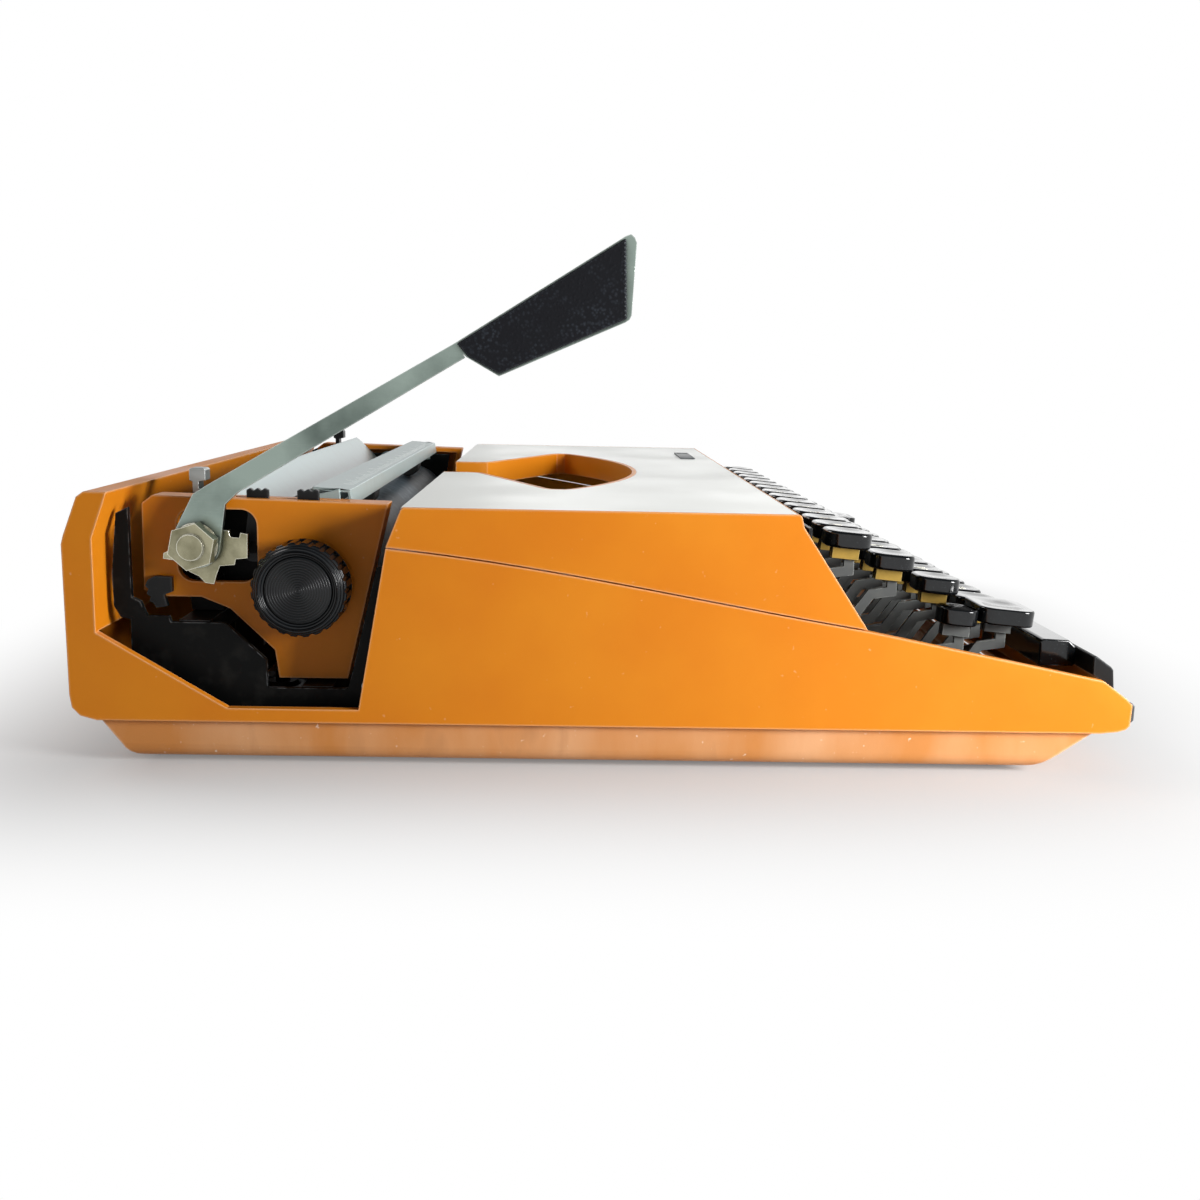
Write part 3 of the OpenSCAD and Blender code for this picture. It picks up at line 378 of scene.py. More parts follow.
@dataclass(frozen=True)
class TurnedPlastic(Finish):
    """Black plastic knob with fine grooves turned round its axis, which catch the light as a fan.

    Attributes:
        axis: Y and Z of the axis in metres.
        groove_mm: Distance from groove to groove.
        depth_mm: Depth of a groove.
        dust: Tone of the dust in the grooves.
    """

    axis: Pair = (0.0, 0.0)
    groove_mm: float = 0.8
    depth_mm: float = 0.09
    dust: str = "#3b4144"

    def paint(self, tree: NodeTree, where: Source) -> Node:
        """Makes the rings and the dust in them."""
        offset = add_node(tree, "ShaderNodeVectorMath", {"operation": "SUBTRACT", 1: (0.0, *self.axis)}, {0: where})
        across = add_node(tree, "ShaderNodeVectorMath", {"operation": "MULTIPLY", 1: (0.0, 1.0, 1.0)}, {0: offset})
        radius = add_node(tree, "ShaderNodeVectorMath", {"operation": "LENGTH"}, {0: across})
        turns = add_node(tree, "ShaderNodeMath", {
            "operation": "MULTIPLY", 1: TURN * per_metre(self.groove_mm)}, {0: radius})
        wave = add_node(tree, "ShaderNodeMath", {"operation": "SINE"}, {0: turns})
        dust = add_node(tree, "ShaderNodeMapRange", {
            "From Min": 0.2, "From Max": -1.0, "To Max": 0.2}, {"Value": wave})
        return self.skin(tree, ((self.dust, dust),), wave, self.depth_mm, {"IOR": 1.54, "Specular IOR Level": 0.25})


@dataclass(frozen=True)
class GrainedPlastic(Finish):
    """Black plastic with a moulded leather grain, rubbed grey on its high spots.

    Attributes:
        pebble_mm: Width of one pebble of the grain.
        depth_mm: Height of a pebble.
        hand_mm: Size of the places that the hand rubs.
        rubbed: Tone of the rubbed pebbles.
        worn: Tone of the rubbed edges.
    """

    pebble_mm: float = 1.1
    depth_mm: float = 0.07
    hand_mm: float = 11.0
    rubbed: str = "#6a7480"
    worn: str = "#8b9298"

    def paint(self, tree: NodeTree, where: Source) -> Node:
        """Makes the pebbles and the rubbed high spots."""
        cell = add_node(tree, "ShaderNodeTexVoronoi", {
            "feature": "SMOOTH_F1", "Scale": per_metre(self.pebble_mm), "Smoothness": 0.6}, {"Vector": where})
        high = add_node(tree, "ShaderNodeMapRange", {"From Min": 0.5, "From Max": 0.05}, {"Value": cell})
        held = blotches(tree, where, self.hand_mm, detail=3.0, band=(0.45, 0.7), levels=(0.0, 0.2))
        rub = add_node(tree, "ShaderNodeMath", {"operation": "MULTIPLY"}, {0: high, 1: held})
        edges = worn_and_highlit_edges(tree, width_mm=0.7, most=0.3)
        return self.skin(tree, ((self.rubbed, rub), (self.worn, edges)), high, self.depth_mm,
                         {"IOR": ABS_IOR, "Specular IOR Level": 0.15})


@dataclass(frozen=True)
class WorkedMetal(Finish):
    """Plated, ground or bare metal with the marks of its working, a tarnish in patches and painted shade in its
    corners.

    Attributes:
        tarnish: Tone of the tarnished patches.
        bright: Tone of the edges, rubbed bright and partly a painted highlight.
        corner_shade: Tone of the painted shade in the corners and crevices.
        lay: Direction of the marks.
        mark_mm: Width of one mark, drawn coarser than the real ones so that it shows.
        mark_depth_mm: Depth of the marks.
        patch_mm: Size of the tarnished patches.
        patches: Share of the tarnish at most.
        rubbed: Share of the bright tone on the edges.
    """

    tarnish: str = "#55595a"
    bright: str = "#e6e8e4"
    corner_shade: str = "#1c1a16"
    lay: Lay = Lay.EVEN
    mark_mm: float = 0.5
    mark_depth_mm: float = 0.006
    patch_mm: float = 14.0
    patches: float = 0.6
    rubbed: float = 0.5

    def paint(self, tree: NodeTree, where: Source) -> Node:
        """Makes tarnish, painted shade in the corners, working marks and brighter edges, rubbed and partly a painted
        highlight.
        """
        patch = blotches(tree, where, self.patch_mm, detail=5.0, band=(0.42, 0.72), levels=(0.0, self.patches))
        # Painted shade: darker in the corners and crevices, where shade falls.
        painted_shade = painted_corner_shade(tree, reach_mm=3.0, most=0.9)
        # Lighter edges: rubbed wear, and partly a painted highlight.
        edges = worn_and_highlit_edges(tree, width_mm=0.5, most=self.rubbed)
        drawn = add_node(tree, "ShaderNodeMapping", {"Scale": self.lay.value}, {"Vector": where})
        mark = add_node(tree, "ShaderNodeTexNoise", {
            "Scale": per_metre(self.mark_mm), "Detail": 3.0}, {"Vector": drawn})
        rough = add_node(tree, "ShaderNodeMapRange", {
            "From Min": 0.25, "From Max": 0.75, "To Min": self.roughness - 0.08, "To Max": self.roughness + 0.14},
            {"Value": mark})
        return self.skin(tree, ((self.tarnish, patch), (self.corner_shade, painted_shade), (self.bright, edges)), mark,
                         self.mark_depth_mm, {"Metallic": 1.0}, rough)


@dataclass(frozen=True)
class CoatedMetal(Finish):
    """Sheet metal under a dull skin, stoved enamel or phosphate, with dust and edges rubbed through.

    Attributes:
        chip: Tone where the skin is rubbed through.
        dust: Tone of the dust.
        dusty: Share of the dust at most.
        coat: Weight of the clear top of an enamel.
        gloss: Specular level.
        cloud_mm: Size of the dusty places.
        knock_mm: Distance between chips.
        peel_mm: Width of the skin's orange peel.
        peel_depth_mm: Its depth.
    """

    chip: str = "#8a8f92"
    dust: str = "#8c8a84"
    dusty: float = 0.2
    coat: float = 0.0
    gloss: float = 0.5
    cloud_mm: float = 5.0
    knock_mm: float = 3.0
    peel_mm: float = 1.4
    peel_depth_mm: float = 0.006

    def paint(self, tree: NodeTree, where: Source) -> Node:
        """Makes the orange peel, dust and chipped edges."""
        film = blotches(tree, where, self.cloud_mm, detail=5.0, band=(0.5, 0.8), levels=(0.0, self.dusty))
        gone = blotches(tree, where, self.knock_mm, detail=3.0, band=(0.45, 0.55))
        edges = worn_and_highlit_edges(tree, width_mm=0.5, most=0.6)
        chips = add_node(tree, "ShaderNodeMath", {"operation": "MULTIPLY"}, {0: edges, 1: gone})
        peel = add_node(tree, "ShaderNodeTexNoise", {
            "Scale": per_metre(self.peel_mm), "Detail": 1.0}, {"Vector": where})
        return self.skin(tree, ((self.dust, film), (self.chip, chips)), peel, self.peel_depth_mm, {
            "Specular IOR Level": self.gloss, "Coat Weight": self.coat, "Coat Roughness": 0.2})


@dataclass(frozen=True)
class GroundRubber(Finish):
    """Hard rubber ground on a lathe: matt, with faint rings and paper dust.

    Attributes:
        dust: Tone of the paper dust.
        cloud_mm: Size of the dusty places.
        ring_mm: Distance from ring to ring, drawn several times too coarse so that they show.
        ring_depth_mm: Depth of a ring.
    """

    dust: str = "#8f979b"
    cloud_mm: float = 4.0
    ring_mm: float = 1.2
    ring_depth_mm: float = 0.02

    def paint(self, tree: NodeTree, where: Source) -> Node:
        """Makes the grinding marks and the dust."""
        film = blotches(tree, where, self.cloud_mm, detail=5.0, band=(0.5, 0.75), levels=(0.0, 0.3))
        turned = add_node(tree, "ShaderNodeMapping", {"Scale": (1.0, 0.06, 0.06)}, {"Vector": where})
        ring = add_node(tree, "ShaderNodeTexNoise", {
            "Scale": per_metre(self.ring_mm), "Detail": 3.0}, {"Vector": turned})
        return self.skin(tree, ((self.dust, film),), ring, self.ring_depth_mm, {"Specular IOR Level": 0.4})


@dataclass(frozen=True)
class ChalkyPaint(Finish):
    """Paint wiped into an engraving or printed through a screen: matt, and thin in places.

    Attributes:
        thin: Tone where the ground shows through.
        patch_mm: Size of the thin places.
        depth_mm: Depth of the thin places.
    """

    thin: str = "#b8b5aa"
    patch_mm: float = 1.2
    depth_mm: float = 0.01

    def paint(self, tree: NodeTree, where: Source) -> Node:
        """Makes the thin places and the powdery surface."""
        wiped = add_node(tree, "ShaderNodeTexNoise", {
            "Scale": per_metre(self.patch_mm), "Detail": 3.0}, {"Vector": where})
        worn = add_node(tree, "ShaderNodeMapRange", {
            "From Min": 0.5, "From Max": 0.75, "To Max": 0.8}, {"Value": wiped})
        return self.skin(tree, ((self.thin, worn),), wiped, self.depth_mm, {"Specular IOR Level": 0.3})


@dataclass(frozen=True)
class InkedRibbon(Finish):
    """Woven ribbon inked in two bands, with the weave drawn coarser than real so that it shows.

    Attributes:
        second: Colour of the lower band.
        split_z: Height in metres of the line between the bands.
        thread_mm: Distance from thread to thread.
        depth_mm: Depth of the weave.
    """

    second: str = "#5e1410"
    split_z: float = 0.0
    thread_mm: float = 0.5
    depth_mm: float = 0.03

    def paint(self, tree: NodeTree, where: Source) -> Node:
        """Makes the two bands and the plain weave."""
        axes = add_node(tree, "ShaderNodeSeparateXYZ", links={"Vector": where})
        low = add_node(tree, "ShaderNodeMath", {"operation": "LESS_THAN", 1: self.split_z}, {0: axes.outputs["Z"]})
        waves = []
        for axis in ("X", "Z"):
            turns = add_node(tree, "ShaderNodeMath", {
                "operation": "MULTIPLY", 1: TURN * per_metre(self.thread_mm)}, {0: axes.outputs[axis]})
            waves.append(add_node(tree, "ShaderNodeMath", {"operation": "SINE"}, {0: turns}))
        weave = add_node(tree, "ShaderNodeMath", {"operation": "MULTIPLY"}, dict(enumerate(waves)))
        return self.skin(tree, ((self.second, low),), weave, self.depth_mm, {"Sheen Weight": 0.2})


# Moulded ABS with a satin skin, a deep orange that goes a little yellow where it is thick.
# Its pale edges are rubbed wear and partly a painted highlight, the glare on its rims.
ORANGE_ABS = MouldedPlastic("Satin orange ABS", "#d97d12", 0.4, cloud="#e08818", rubbed="#fbd9ae", specks=0.25,
                            worn=0.5, gloss=0.25)
# The tub is the same plastic in a paler batch, under the film, stains and specks of long use.
TUB_ABS = HandledPlastic("Scuffed pale orange ABS", "#d08a4a", 0.5, film="#e6b58a", stain="#b0733c", rubbed="#fbead6")
# Painted reflection: the cover's top is drawn white, standing for the glare on it; moulded in a finely polished tool,
# which leaves it even and satin.
PAINTED_GLARE_WHITE = MouldedPlastic("Satin ABS drawn white for glare", "#eceee8", 0.34, cloud="#f0f1ec", rubbed="#f9f9f5",
                           grain_depth_mm=0.006, specks=0.2, gloss=0.3)
# Satin black ABS, greyed where it is rubbed: trim, shield, tabs and spools.
BLACK_ABS = MouldedPlastic("Satin black ABS", "#0b0c0d", 0.4, cloud="#0e0f10", rubbed="#4a4e50", gloss=0.2)
# The same satin moulding in dark grey: bumper and badge.
GREY_ABS = MouldedPlastic("Satin dark grey ABS", "#3c3f41", 0.45, cloud="#434648", rubbed="#75797b", gloss=0.3)
# Keys are compression moulded and polished, so that they mirror the room.
KEY_BLACK = PolishedPlastic("Polished black phenolic", "#0a0c0e", 0.09)
# The lever's grip is moulded with a leather grain, which breaks up its shine.
GRIP_BLACK = GrainedPlastic("Leather-grained black ABS", "#0b0c11", 0.44)
# Filled engraving on the keys: chalky and matt.
LEGEND_FILL = ChalkyPaint("Cream engraving filler", "#e4e2d6", 0.6)
# Screen-printed ink on the bail: chalky and thin at its edges.
SCALE_INK = ChalkyPaint("White printing ink", "#eef2f0", 0.55, thin="#c2c8c6")
# Ground along its length and thinly plated, which gives a streaked sheen.
STEEL = WorkedMetal("Ground plated steel", "#9da19f", 0.34, lay=Lay.ALONG_Y)
# The key levers are blanked from strip and phosphated, which leaves a dull grey skin.
LEVER_STEEL = CoatedMetal("Phosphated steel strip", "#4b4d4c", 0.46, chip="#a9ada9", dust="#6a6a64", dusty=0.35)
# Rails and drum are chemically blackened, so that only their edges shine.
BLACKED_STEEL = CoatedMetal("Chemically blackened steel", "#161718", 0.4, chip="#8f9496", dust="#4c4a46", gloss=0.3)
# The strap is nickel plated and long in use: grey-green, dull in patches, bright on its edges from wear and a painted
# highlight.
STRAP_STEEL = WorkedMetal("Dull nickel-plated strap", "#93a199", 0.3, tarnish="#4e5954", bright="#f2f6f3",
                          lay=Lay.ALONG_Y, mark_mm=0.8, patch_mm=30.0, patches=0.9)
# Zinc with a yellow passivation: silver with a straw tint; its near-white edges are wear and a painted highlight, and
# its crevices take painted shade.
YELLOW_ZINC = WorkedMetal("Yellow-passivated zinc", "#a39f85", 0.2, tarnish="#5d5a42", bright="#fffdf0",
                          mark_mm=2.0, mark_depth_mm=0.003, patch_mm=9.0, patches=0.9, rubbed=0.8)
# Stamped brass left bare: brown in patches, bright on its edges.
BRASS = WorkedMetal("Tarnished brass", "#b8974c", 0.36, tarnish="#7d6a38", bright="#e8d49a")
# Stoved enamel flows out to an orange peel and chips along its edges.
FRAME_ENAMEL = CoatedMetal("Black stoved enamel", "#050606", 0.5, dusty=0.04, gloss=0.1)
# The same stoving in grey under a clear top, which keeps some shine: paper table and bail.
GREY_ENAMEL = CoatedMetal("Grey stoved enamel", "#9fb0af", 0.4, chip="#6c7274", coat=0.25)
# Moulded rubber, matt and dusty, with faint rings from its turned mould: feet and bail rollers.
FOOT_RUBBER = GroundRubber("Moulded black rubber", "#1b1b1c", 0.7, dust="#57564f")
# Hard rubber ground true on a lathe: matt, with faint rings.
PLATEN_RUBBER = GroundRubber("Ground hard rubber", "#36424a", 0.55)


def rounding() -> NodeTree:
    """The modifier tree that shades round faces smooth and keeps sharper edges sharp.

    Returns:
        The tree, made when it is first asked for.
    """
    tree = bpy.data.node_groups.get("round_faces")
    if tree is None:
        tree = bpy.data.node_groups.new("round_faces", "GeometryNodeTree")
        for way in ("INPUT", "OUTPUT"):
            tree.interface.new_socket("Geometry", in_out=way, socket_type="NodeSocketGeometry")
        start = add_node(tree, "NodeGroupInput")
        faces = add_node(tree, "GeometryNodeSetShadeSmooth", {
            "domain": "FACE", "Shade Smooth": True}, {"Geometry": start})
        bend = add_node(tree, "GeometryNodeInputMeshEdgeAngle")
        sharp = add_node(tree, "FunctionNodeCompare", {
            "operation": "GREATER_THAN", 1: SMOOTH_ANGLE}, {0: bend.outputs["Unsigned Angle"]})
        edges = add_node(tree, "GeometryNodeSetShadeSmooth", {
            "domain": "EDGE", "Shade Smooth": False}, {"Geometry": faces, "Selection": sharp})
        add_node(tree, "NodeGroupOutput", links={"Geometry": edges})
    return tree


def dress(node: str, finish: Finish, edge_mm: float = 0.3, steps: int = 2) -> None:
    """Gives a CAD node its finish, shades its round faces smooth and breaks its sharp edges.

    Args:
        node: The node's name.
        finish: Its finish.
        edge_mm: Width of the broken edge, or 0 to leave the edges sharp.
        steps: Facets across the broken edge.
    """
    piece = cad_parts[node]
    piece.data.materials.clear()
    piece.data.materials.append(finish.material())
    weld = piece.modifiers.new("weld", "WELD")
    weld.merge_threshold = WELD_GAP
    flat = piece.modifiers.new("flat", "DECIMATE")
    flat.decimate_type = "DISSOLVE"
    flat.angle_limit = FLAT_ANGLE
    smooth = piece.modifiers.new("smooth", "NODES")
    smooth.node_group = rounding()
    if edge_mm > 0:
        edge = piece.modifiers.new("edge", "BEVEL")
        edge.width = edge_mm * MM
        edge.segments = steps
        edge.limit_method = "ANGLE"
        edge.angle_limit = EDGE_ANGLE
        edge.harden_normals = True
    LOG.info("%s: %s", node, finish.name)


def add_piece(
    name: str, mesh: bmesh.types.BMesh, finish: Finish, body: str,
) -> bpy.types.Object:
    """Makes a mesh into a piece of the object.

    Args:
        name: The piece's name.
        mesh: Its mesh in the row frame, in metres, which is freed.
        finish: Its finish.
        body: The CAD body that it rides on.

    Returns:
        The new object.
    """
    data = bpy.data.meshes.new(name)
    mesh.to_mesh(data)
    mesh.free()
    data.materials.append(finish.material())
    piece = bpy.data.objects.new(name, data)
    bpy.context.scene.collection.objects.link(piece)
    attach(piece, body)
    LOG.info("%s: %s, rides on %s", name, finish.name, body)
    return piece


def add_block(mesh: bmesh.types.BMesh, centre: Vector, size: Vector, turn: Matrix) -> None:
    """Adds a small box to a mesh.

    Args:
        mesh: The mesh to add to.
        centre: Its centre.
        size: Its sides.
        turn: Its rotation.
    """
    bmesh.ops.create_cube(mesh, size=1.0, matrix=Matrix.Translation(centre) @ turn @ Matrix.Diagonal((*size, 1.0)))


class SubAssembly:
    """A group of pieces that are dressed and built together."""

    def dress(self) -> None:
        """Finishes the CAD pieces of the group."""

    def build(self) -> None:
        """Adds the pieces that only the scene has."""


@dataclass
class Casing(SubAssembly):
    """The tub, shell, trim and feet, and the ribbon cover with its bare badge.

    Attributes:
        badge: Width, depth and thickness of the badge in mm.
        badge_place: X and Y of its centre in mm.
        badge_rim: Width of its raised rim in mm.
        badge_sink: How far its empty field lies below the rim in mm.
        badge_edge: Width of its broken edges in mm.
        lip: Y and Z in mm of the corners of the lip inside the tub's front rim.
        lip_half: Half its length in mm.
    """

    badge: Triple = (38.0, 7.0, 0.7)
    badge_place: Pair = (92.0, -44.0)
    badge_rim: float = 0.8
    badge_sink: float = 0.35
    badge_edge: float = 0.12
    lip: tuple[Pair, ...] = ((-151.2, 12.66), (-149.39, 11.4), (-146.9, 11.4), (-151.2, 14.4))
    lip_half: float = 157.5

    def dress(self) -> None:
        """Finishes the CAD pieces of the casing."""
        dress("base_tub", TUB_ABS, 0.8, 3)
        dress("body_shell", ORANGE_ABS, 0.7, 3)
        dress("front_trim", BLACK_ABS, 0.4)
        dress("front_bumper", GREY_ABS, 0.4)
        dress("rubber_feet", FOOT_RUBBER, 0.6)
        dress("frame_screws", STEEL, 0.2)
        dress("cover_frame", ORANGE_ABS, 0.5)
        # The cover's top is drawn white: a painted reflection of glare.
        dress("cover_panel", PAINTED_GLARE_WHITE, 0.3)

    def build(self) -> None:
        """Adds the badge on the cover and the lip inside the tub."""
        self.add_badge()
        self.add_lip()

    def add_lip(self) -> None:
        """Adds the lip that joins the tub's front wall to its rim, where the CAD tub leaves a slit."""
        mesh = bmesh.new()
        ends = [[mesh.verts.new((x * MM, y * MM, z * MM)) for y, z in self.lip]
                for x in (-self.lip_half, self.lip_half)]
        for end in ends:
            mesh.faces.new(end)
        for i in range(len(self.lip)):
            mesh.faces.new((ends[0][i - 1], ends[0][i], ends[1][i], ends[1][i - 1]))
        bmesh.ops.recalc_face_normals(mesh, faces=mesh.faces[:])
        add_piece("tub_front_lip", mesh, TUB_ABS, "chassis")

    def add_badge(self) -> None:
        """Adds the bare badge on the cover, a raised rim round an empty sunk field."""
        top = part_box("cover_panel")[1].z
        width, depth, thick = (v * MM for v in self.badge)
        mesh = bmesh.new()
        add_block(mesh, Vector((self.badge_place[0] * MM, self.badge_place[1] * MM, top + thick / 2)),
                  Vector((width, depth, thick)), Matrix.Identity(4))
        mesh.normal_update()
        field = [face for face in mesh.faces if face.normal.z > 0.5]
        bmesh.ops.inset_region(mesh, faces=field, thickness=self.badge_rim * MM, depth=-self.badge_sink * MM)
        bmesh.ops.bevel(mesh, geom=mesh.edges[:], offset=self.badge_edge * MM, segments=2, affect="EDGES")
        add_piece("cover_badge", mesh, GREY_ABS, "ribbon_cover")


@dataclass
class Mechanism(SubAssembly):
    """The frame, the key levers' shaft and comb, the rails and the type basket inside the casing.

    Attributes:
        enamelled: Pieces in black enamel.
        plated: Pieces in plated steel.
        blacked: Pieces in blackened steel.
    """

    enamelled: tuple[str, ...] = ("main_frame", "key_comb", "ribbon_deck")
    plated: tuple[str, ...] = ("key_shaft", "type_guide", "type_segment", "typebars", "centre_typebar")
    blacked: tuple[str, ...] = ("carriage_rails", "spring_drum")

    def dress(self) -> None:
        """Finishes the CAD pieces of the mechanism."""
        for node in self.enamelled:
            dress(node, FRAME_ENAMEL, 0.2)
        for node in self.plated:
            dress(node, STEEL, 0.0 if node == "typebars" else 0.15)
        for node in self.blacked:
            dress(node, BLACKED_STEEL, 0.3)
        dress("keyboard_shield", BLACK_ABS, 0.2)
        dress("line_bell", BRASS, 0.2)
        for side in ("left", "right"):
            dress(f"ribbon_spool_{side}", BLACK_ABS, 0.2)


@dataclass
class Ribbon(SubAssembly):
    """The inked ribbon, which replaces the plain strip of the CAD model.

    Attributes:
        thick: Thickness in mm.
        bend: Radius in mm of its bends round the posts.
        samples: Points along each bend.
        digits: Decimals of a metre to which the CAD strip's corners are matched.
    """

    thick: float = 0.16
    bend: float = 3.0
    samples: int = 8
    digits: int = 5

    def finish(self) -> InkedRibbon:
        """Gives the ribbon's finish.

        Returns:
            The finish, split at the ribbon's half height.
        """
        low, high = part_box("ribbon")
        # Woven cotton soaked in ink: matt, with a faint sheen from its threads.
        return InkedRibbon("Inked cotton ribbon", "#131316", 0.75, split_z=(low.z + high.z) / 2)

    def route(self) -> list[Vector]:
        """The ribbon's line seen from above, from spool to spool.

        Returns:
            Points in metres at the ribbon's lower edge.
        """
        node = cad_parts["ribbon"].data
        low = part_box("ribbon")[0].z
        foot = [v.co for v in node.vertices if v.co.z < low + MM]
        corners = sorted({(round(p.x, self.digits), round(p.y, self.digits)) for p in foot})
        pairs = [(Vector(corners[i]) + Vector(corners[i + 1])) / 2 for i in range(0, len(corners) - 1, 2)]
        line = [pairs[0]]
        for before, corner, after in zip(pairs, pairs[1:], pairs[2:]):
            reach = min(self.bend * MM, (corner - before).length / 3, (after - corner).length / 3)
            start = corner + (before - corner).normalized() * reach
            end = corner + (after - corner).normalized() * reach
            for i in range(self.samples + 1):
                t = i / self.samples
                line.append(start * (1 - t) ** 2 + corner * 2 * t * (1 - t) + end * t * t)
        line.append(pairs[-1])
        return [Vector((p.x, p.y, low)) for p in line]

    def build(self) -> None:
        """Builds the ribbon along its route."""
        line = self.route()
        low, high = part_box("ribbon")
        mesh = bmesh.new()
        rings = []
        for i, point in enumerate(line):
            ahead = (line[min(i + 1, len(line) - 1)] - line[max(i - 1, 0)]).normalized()
            side = Vector((-ahead.y, ahead.x, 0.0)) * self.thick * MM / 2
            up = Vector((0.0, 0.0, high.z - low.z))
            corners = (point - side, point + side, point + side + up, point - side + up)
            rings.append([mesh.verts.new(corner) for corner in corners])
        for first, second in zip(rings, rings[1:]):
            for k in range(4):
                mesh.faces.new((first[k], first[(k + 1) % 4], second[(k + 1) % 4], second[k]))
        mesh.faces.new(rings[0][::-1])
        mesh.faces.new(rings[-1])
        bmesh.ops.recalc_face_normals(mesh, faces=mesh.faces[:])
        piece = add_piece("inked_ribbon", mesh, self.finish(), "chassis")
        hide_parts("ribbon")


@dataclass
class Carriage(SubAssembly):
    """The carriage with its platen, knobs, paper table, bail, tabs and margin stops.

    Attributes:
        tick_pitch: Distance from tick to tick on the scale, ten to the inch, in mm.
        tick_width: Width of a tick in mm.
        tick_lengths: Length of a plain, a fifth and a tenth tick in mm.
        scale_half: Half length of the scale in mm.
        tick_height: Thickness of the ink in mm, drawn several times too thick so that it shows.
        tick_lift: How far the ticks' middle lies above the bail in mm.
        tick_inset: Distance in mm from the bail's front edge to the ticks.
        bail_y: Y of the bail's front and rear edges in mm.
        bail_slope: Rise and run of the bail's face in mm.
    """

    tick_pitch: float = 2.54
    tick_width: float = 0.45
    tick_lengths: Triple = (2.4, 3.6, 5.0)
    scale_half: float = 114.3
    tick_height: float = 0.08
    tick_lift: float = 0.01
    tick_inset: float = 1.6
    bail_y: Pair = (84.88, 97.1)
    bail_slope: Pair = (0.8, 12.2)

    def dress(self) -> None:
        """Finishes the CAD pieces of the carriage."""
        dress("carriage_frame", FRAME_ENAMEL, 0.2)
        dress("paper_table", GREY_ENAMEL, 0.3)
        dress("paper_bail", GREY_ENAMEL, 0.2)
        dress("bail_rollers", FOOT_RUBBER, 0.4)
        dress("platen", PLATEN_RUBBER, 0.6)
        dress("platen_shaft", STEEL, 0.2)
        low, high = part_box("platen_knob_left")
        # The knobs' faces are turned after moulding, which leaves fine rings that catch the light.
        knob = TurnedPlastic("Turned black ABS", "#090a0c", 0.2, axis=((low.y + high.y) / 2, (low.z + high.z) / 2))
        for side in ("left", "right"):
            dress(f"end_cover_{side}", ORANGE_ABS, 0.5)
            dress(f"platen_knob_{side}", knob, 0.25)
        for tab in ("paper_release_lever", "line_space_selector", "carriage_release_lever", "margin_stop_right"):
            dress(tab, BLACK_ABS, 0.2)
        dress("margin_stop_left", STEEL, 0.2)

    def build(self) -> None:
        """Adds the printed ticks on the bail."""
        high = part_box("paper_bail")[1]
        mesh = bmesh.new()
        count = int(self.scale_half / self.tick_pitch)
        slope = math.atan2(*self.bail_slope)
        front, rear = (v * MM for v in self.bail_y)
        for i in range(-count, count + 1):
            rank = 2 if i % 10 == 0 else 1 if i % 5 == 0 else 0
            length = self.tick_lengths[rank] * MM
            y = front + self.tick_inset * MM + length / 2
            z = high.z - (rear - y) * math.tan(slope) + self.tick_lift * MM
            add_block(mesh, Vector((i * self.tick_pitch * MM, y, z)),
                      Vector((self.tick_width * MM, length, self.tick_height * MM)), Matrix.Rotation(slope, 4, "X"))
        add_piece("bail_scale_ticks", mesh, SCALE_INK, "paper_bail")


@dataclass
class ReturnLever(SubAssembly):
    """The line-space lever: bracket, bolt, strap and grained grip.

    Attributes:
        edge: Width of its broken edges in mm.
        grip_edge: Width of the grip's broken edges in mm.
    """

    edge: float = 0.3
    grip_edge: float = 0.5

    def dress(self) -> None:
        """Finishes the CAD pieces of the lever."""
        for node in ("lever_bracket", "lever_bolt"):
            dress(node, YELLOW_ZINC, self.edge)
        dress("return_lever", STRAP_STEEL, self.edge)
        dress("lever_grip", GRIP_BLACK, self.grip_edge)


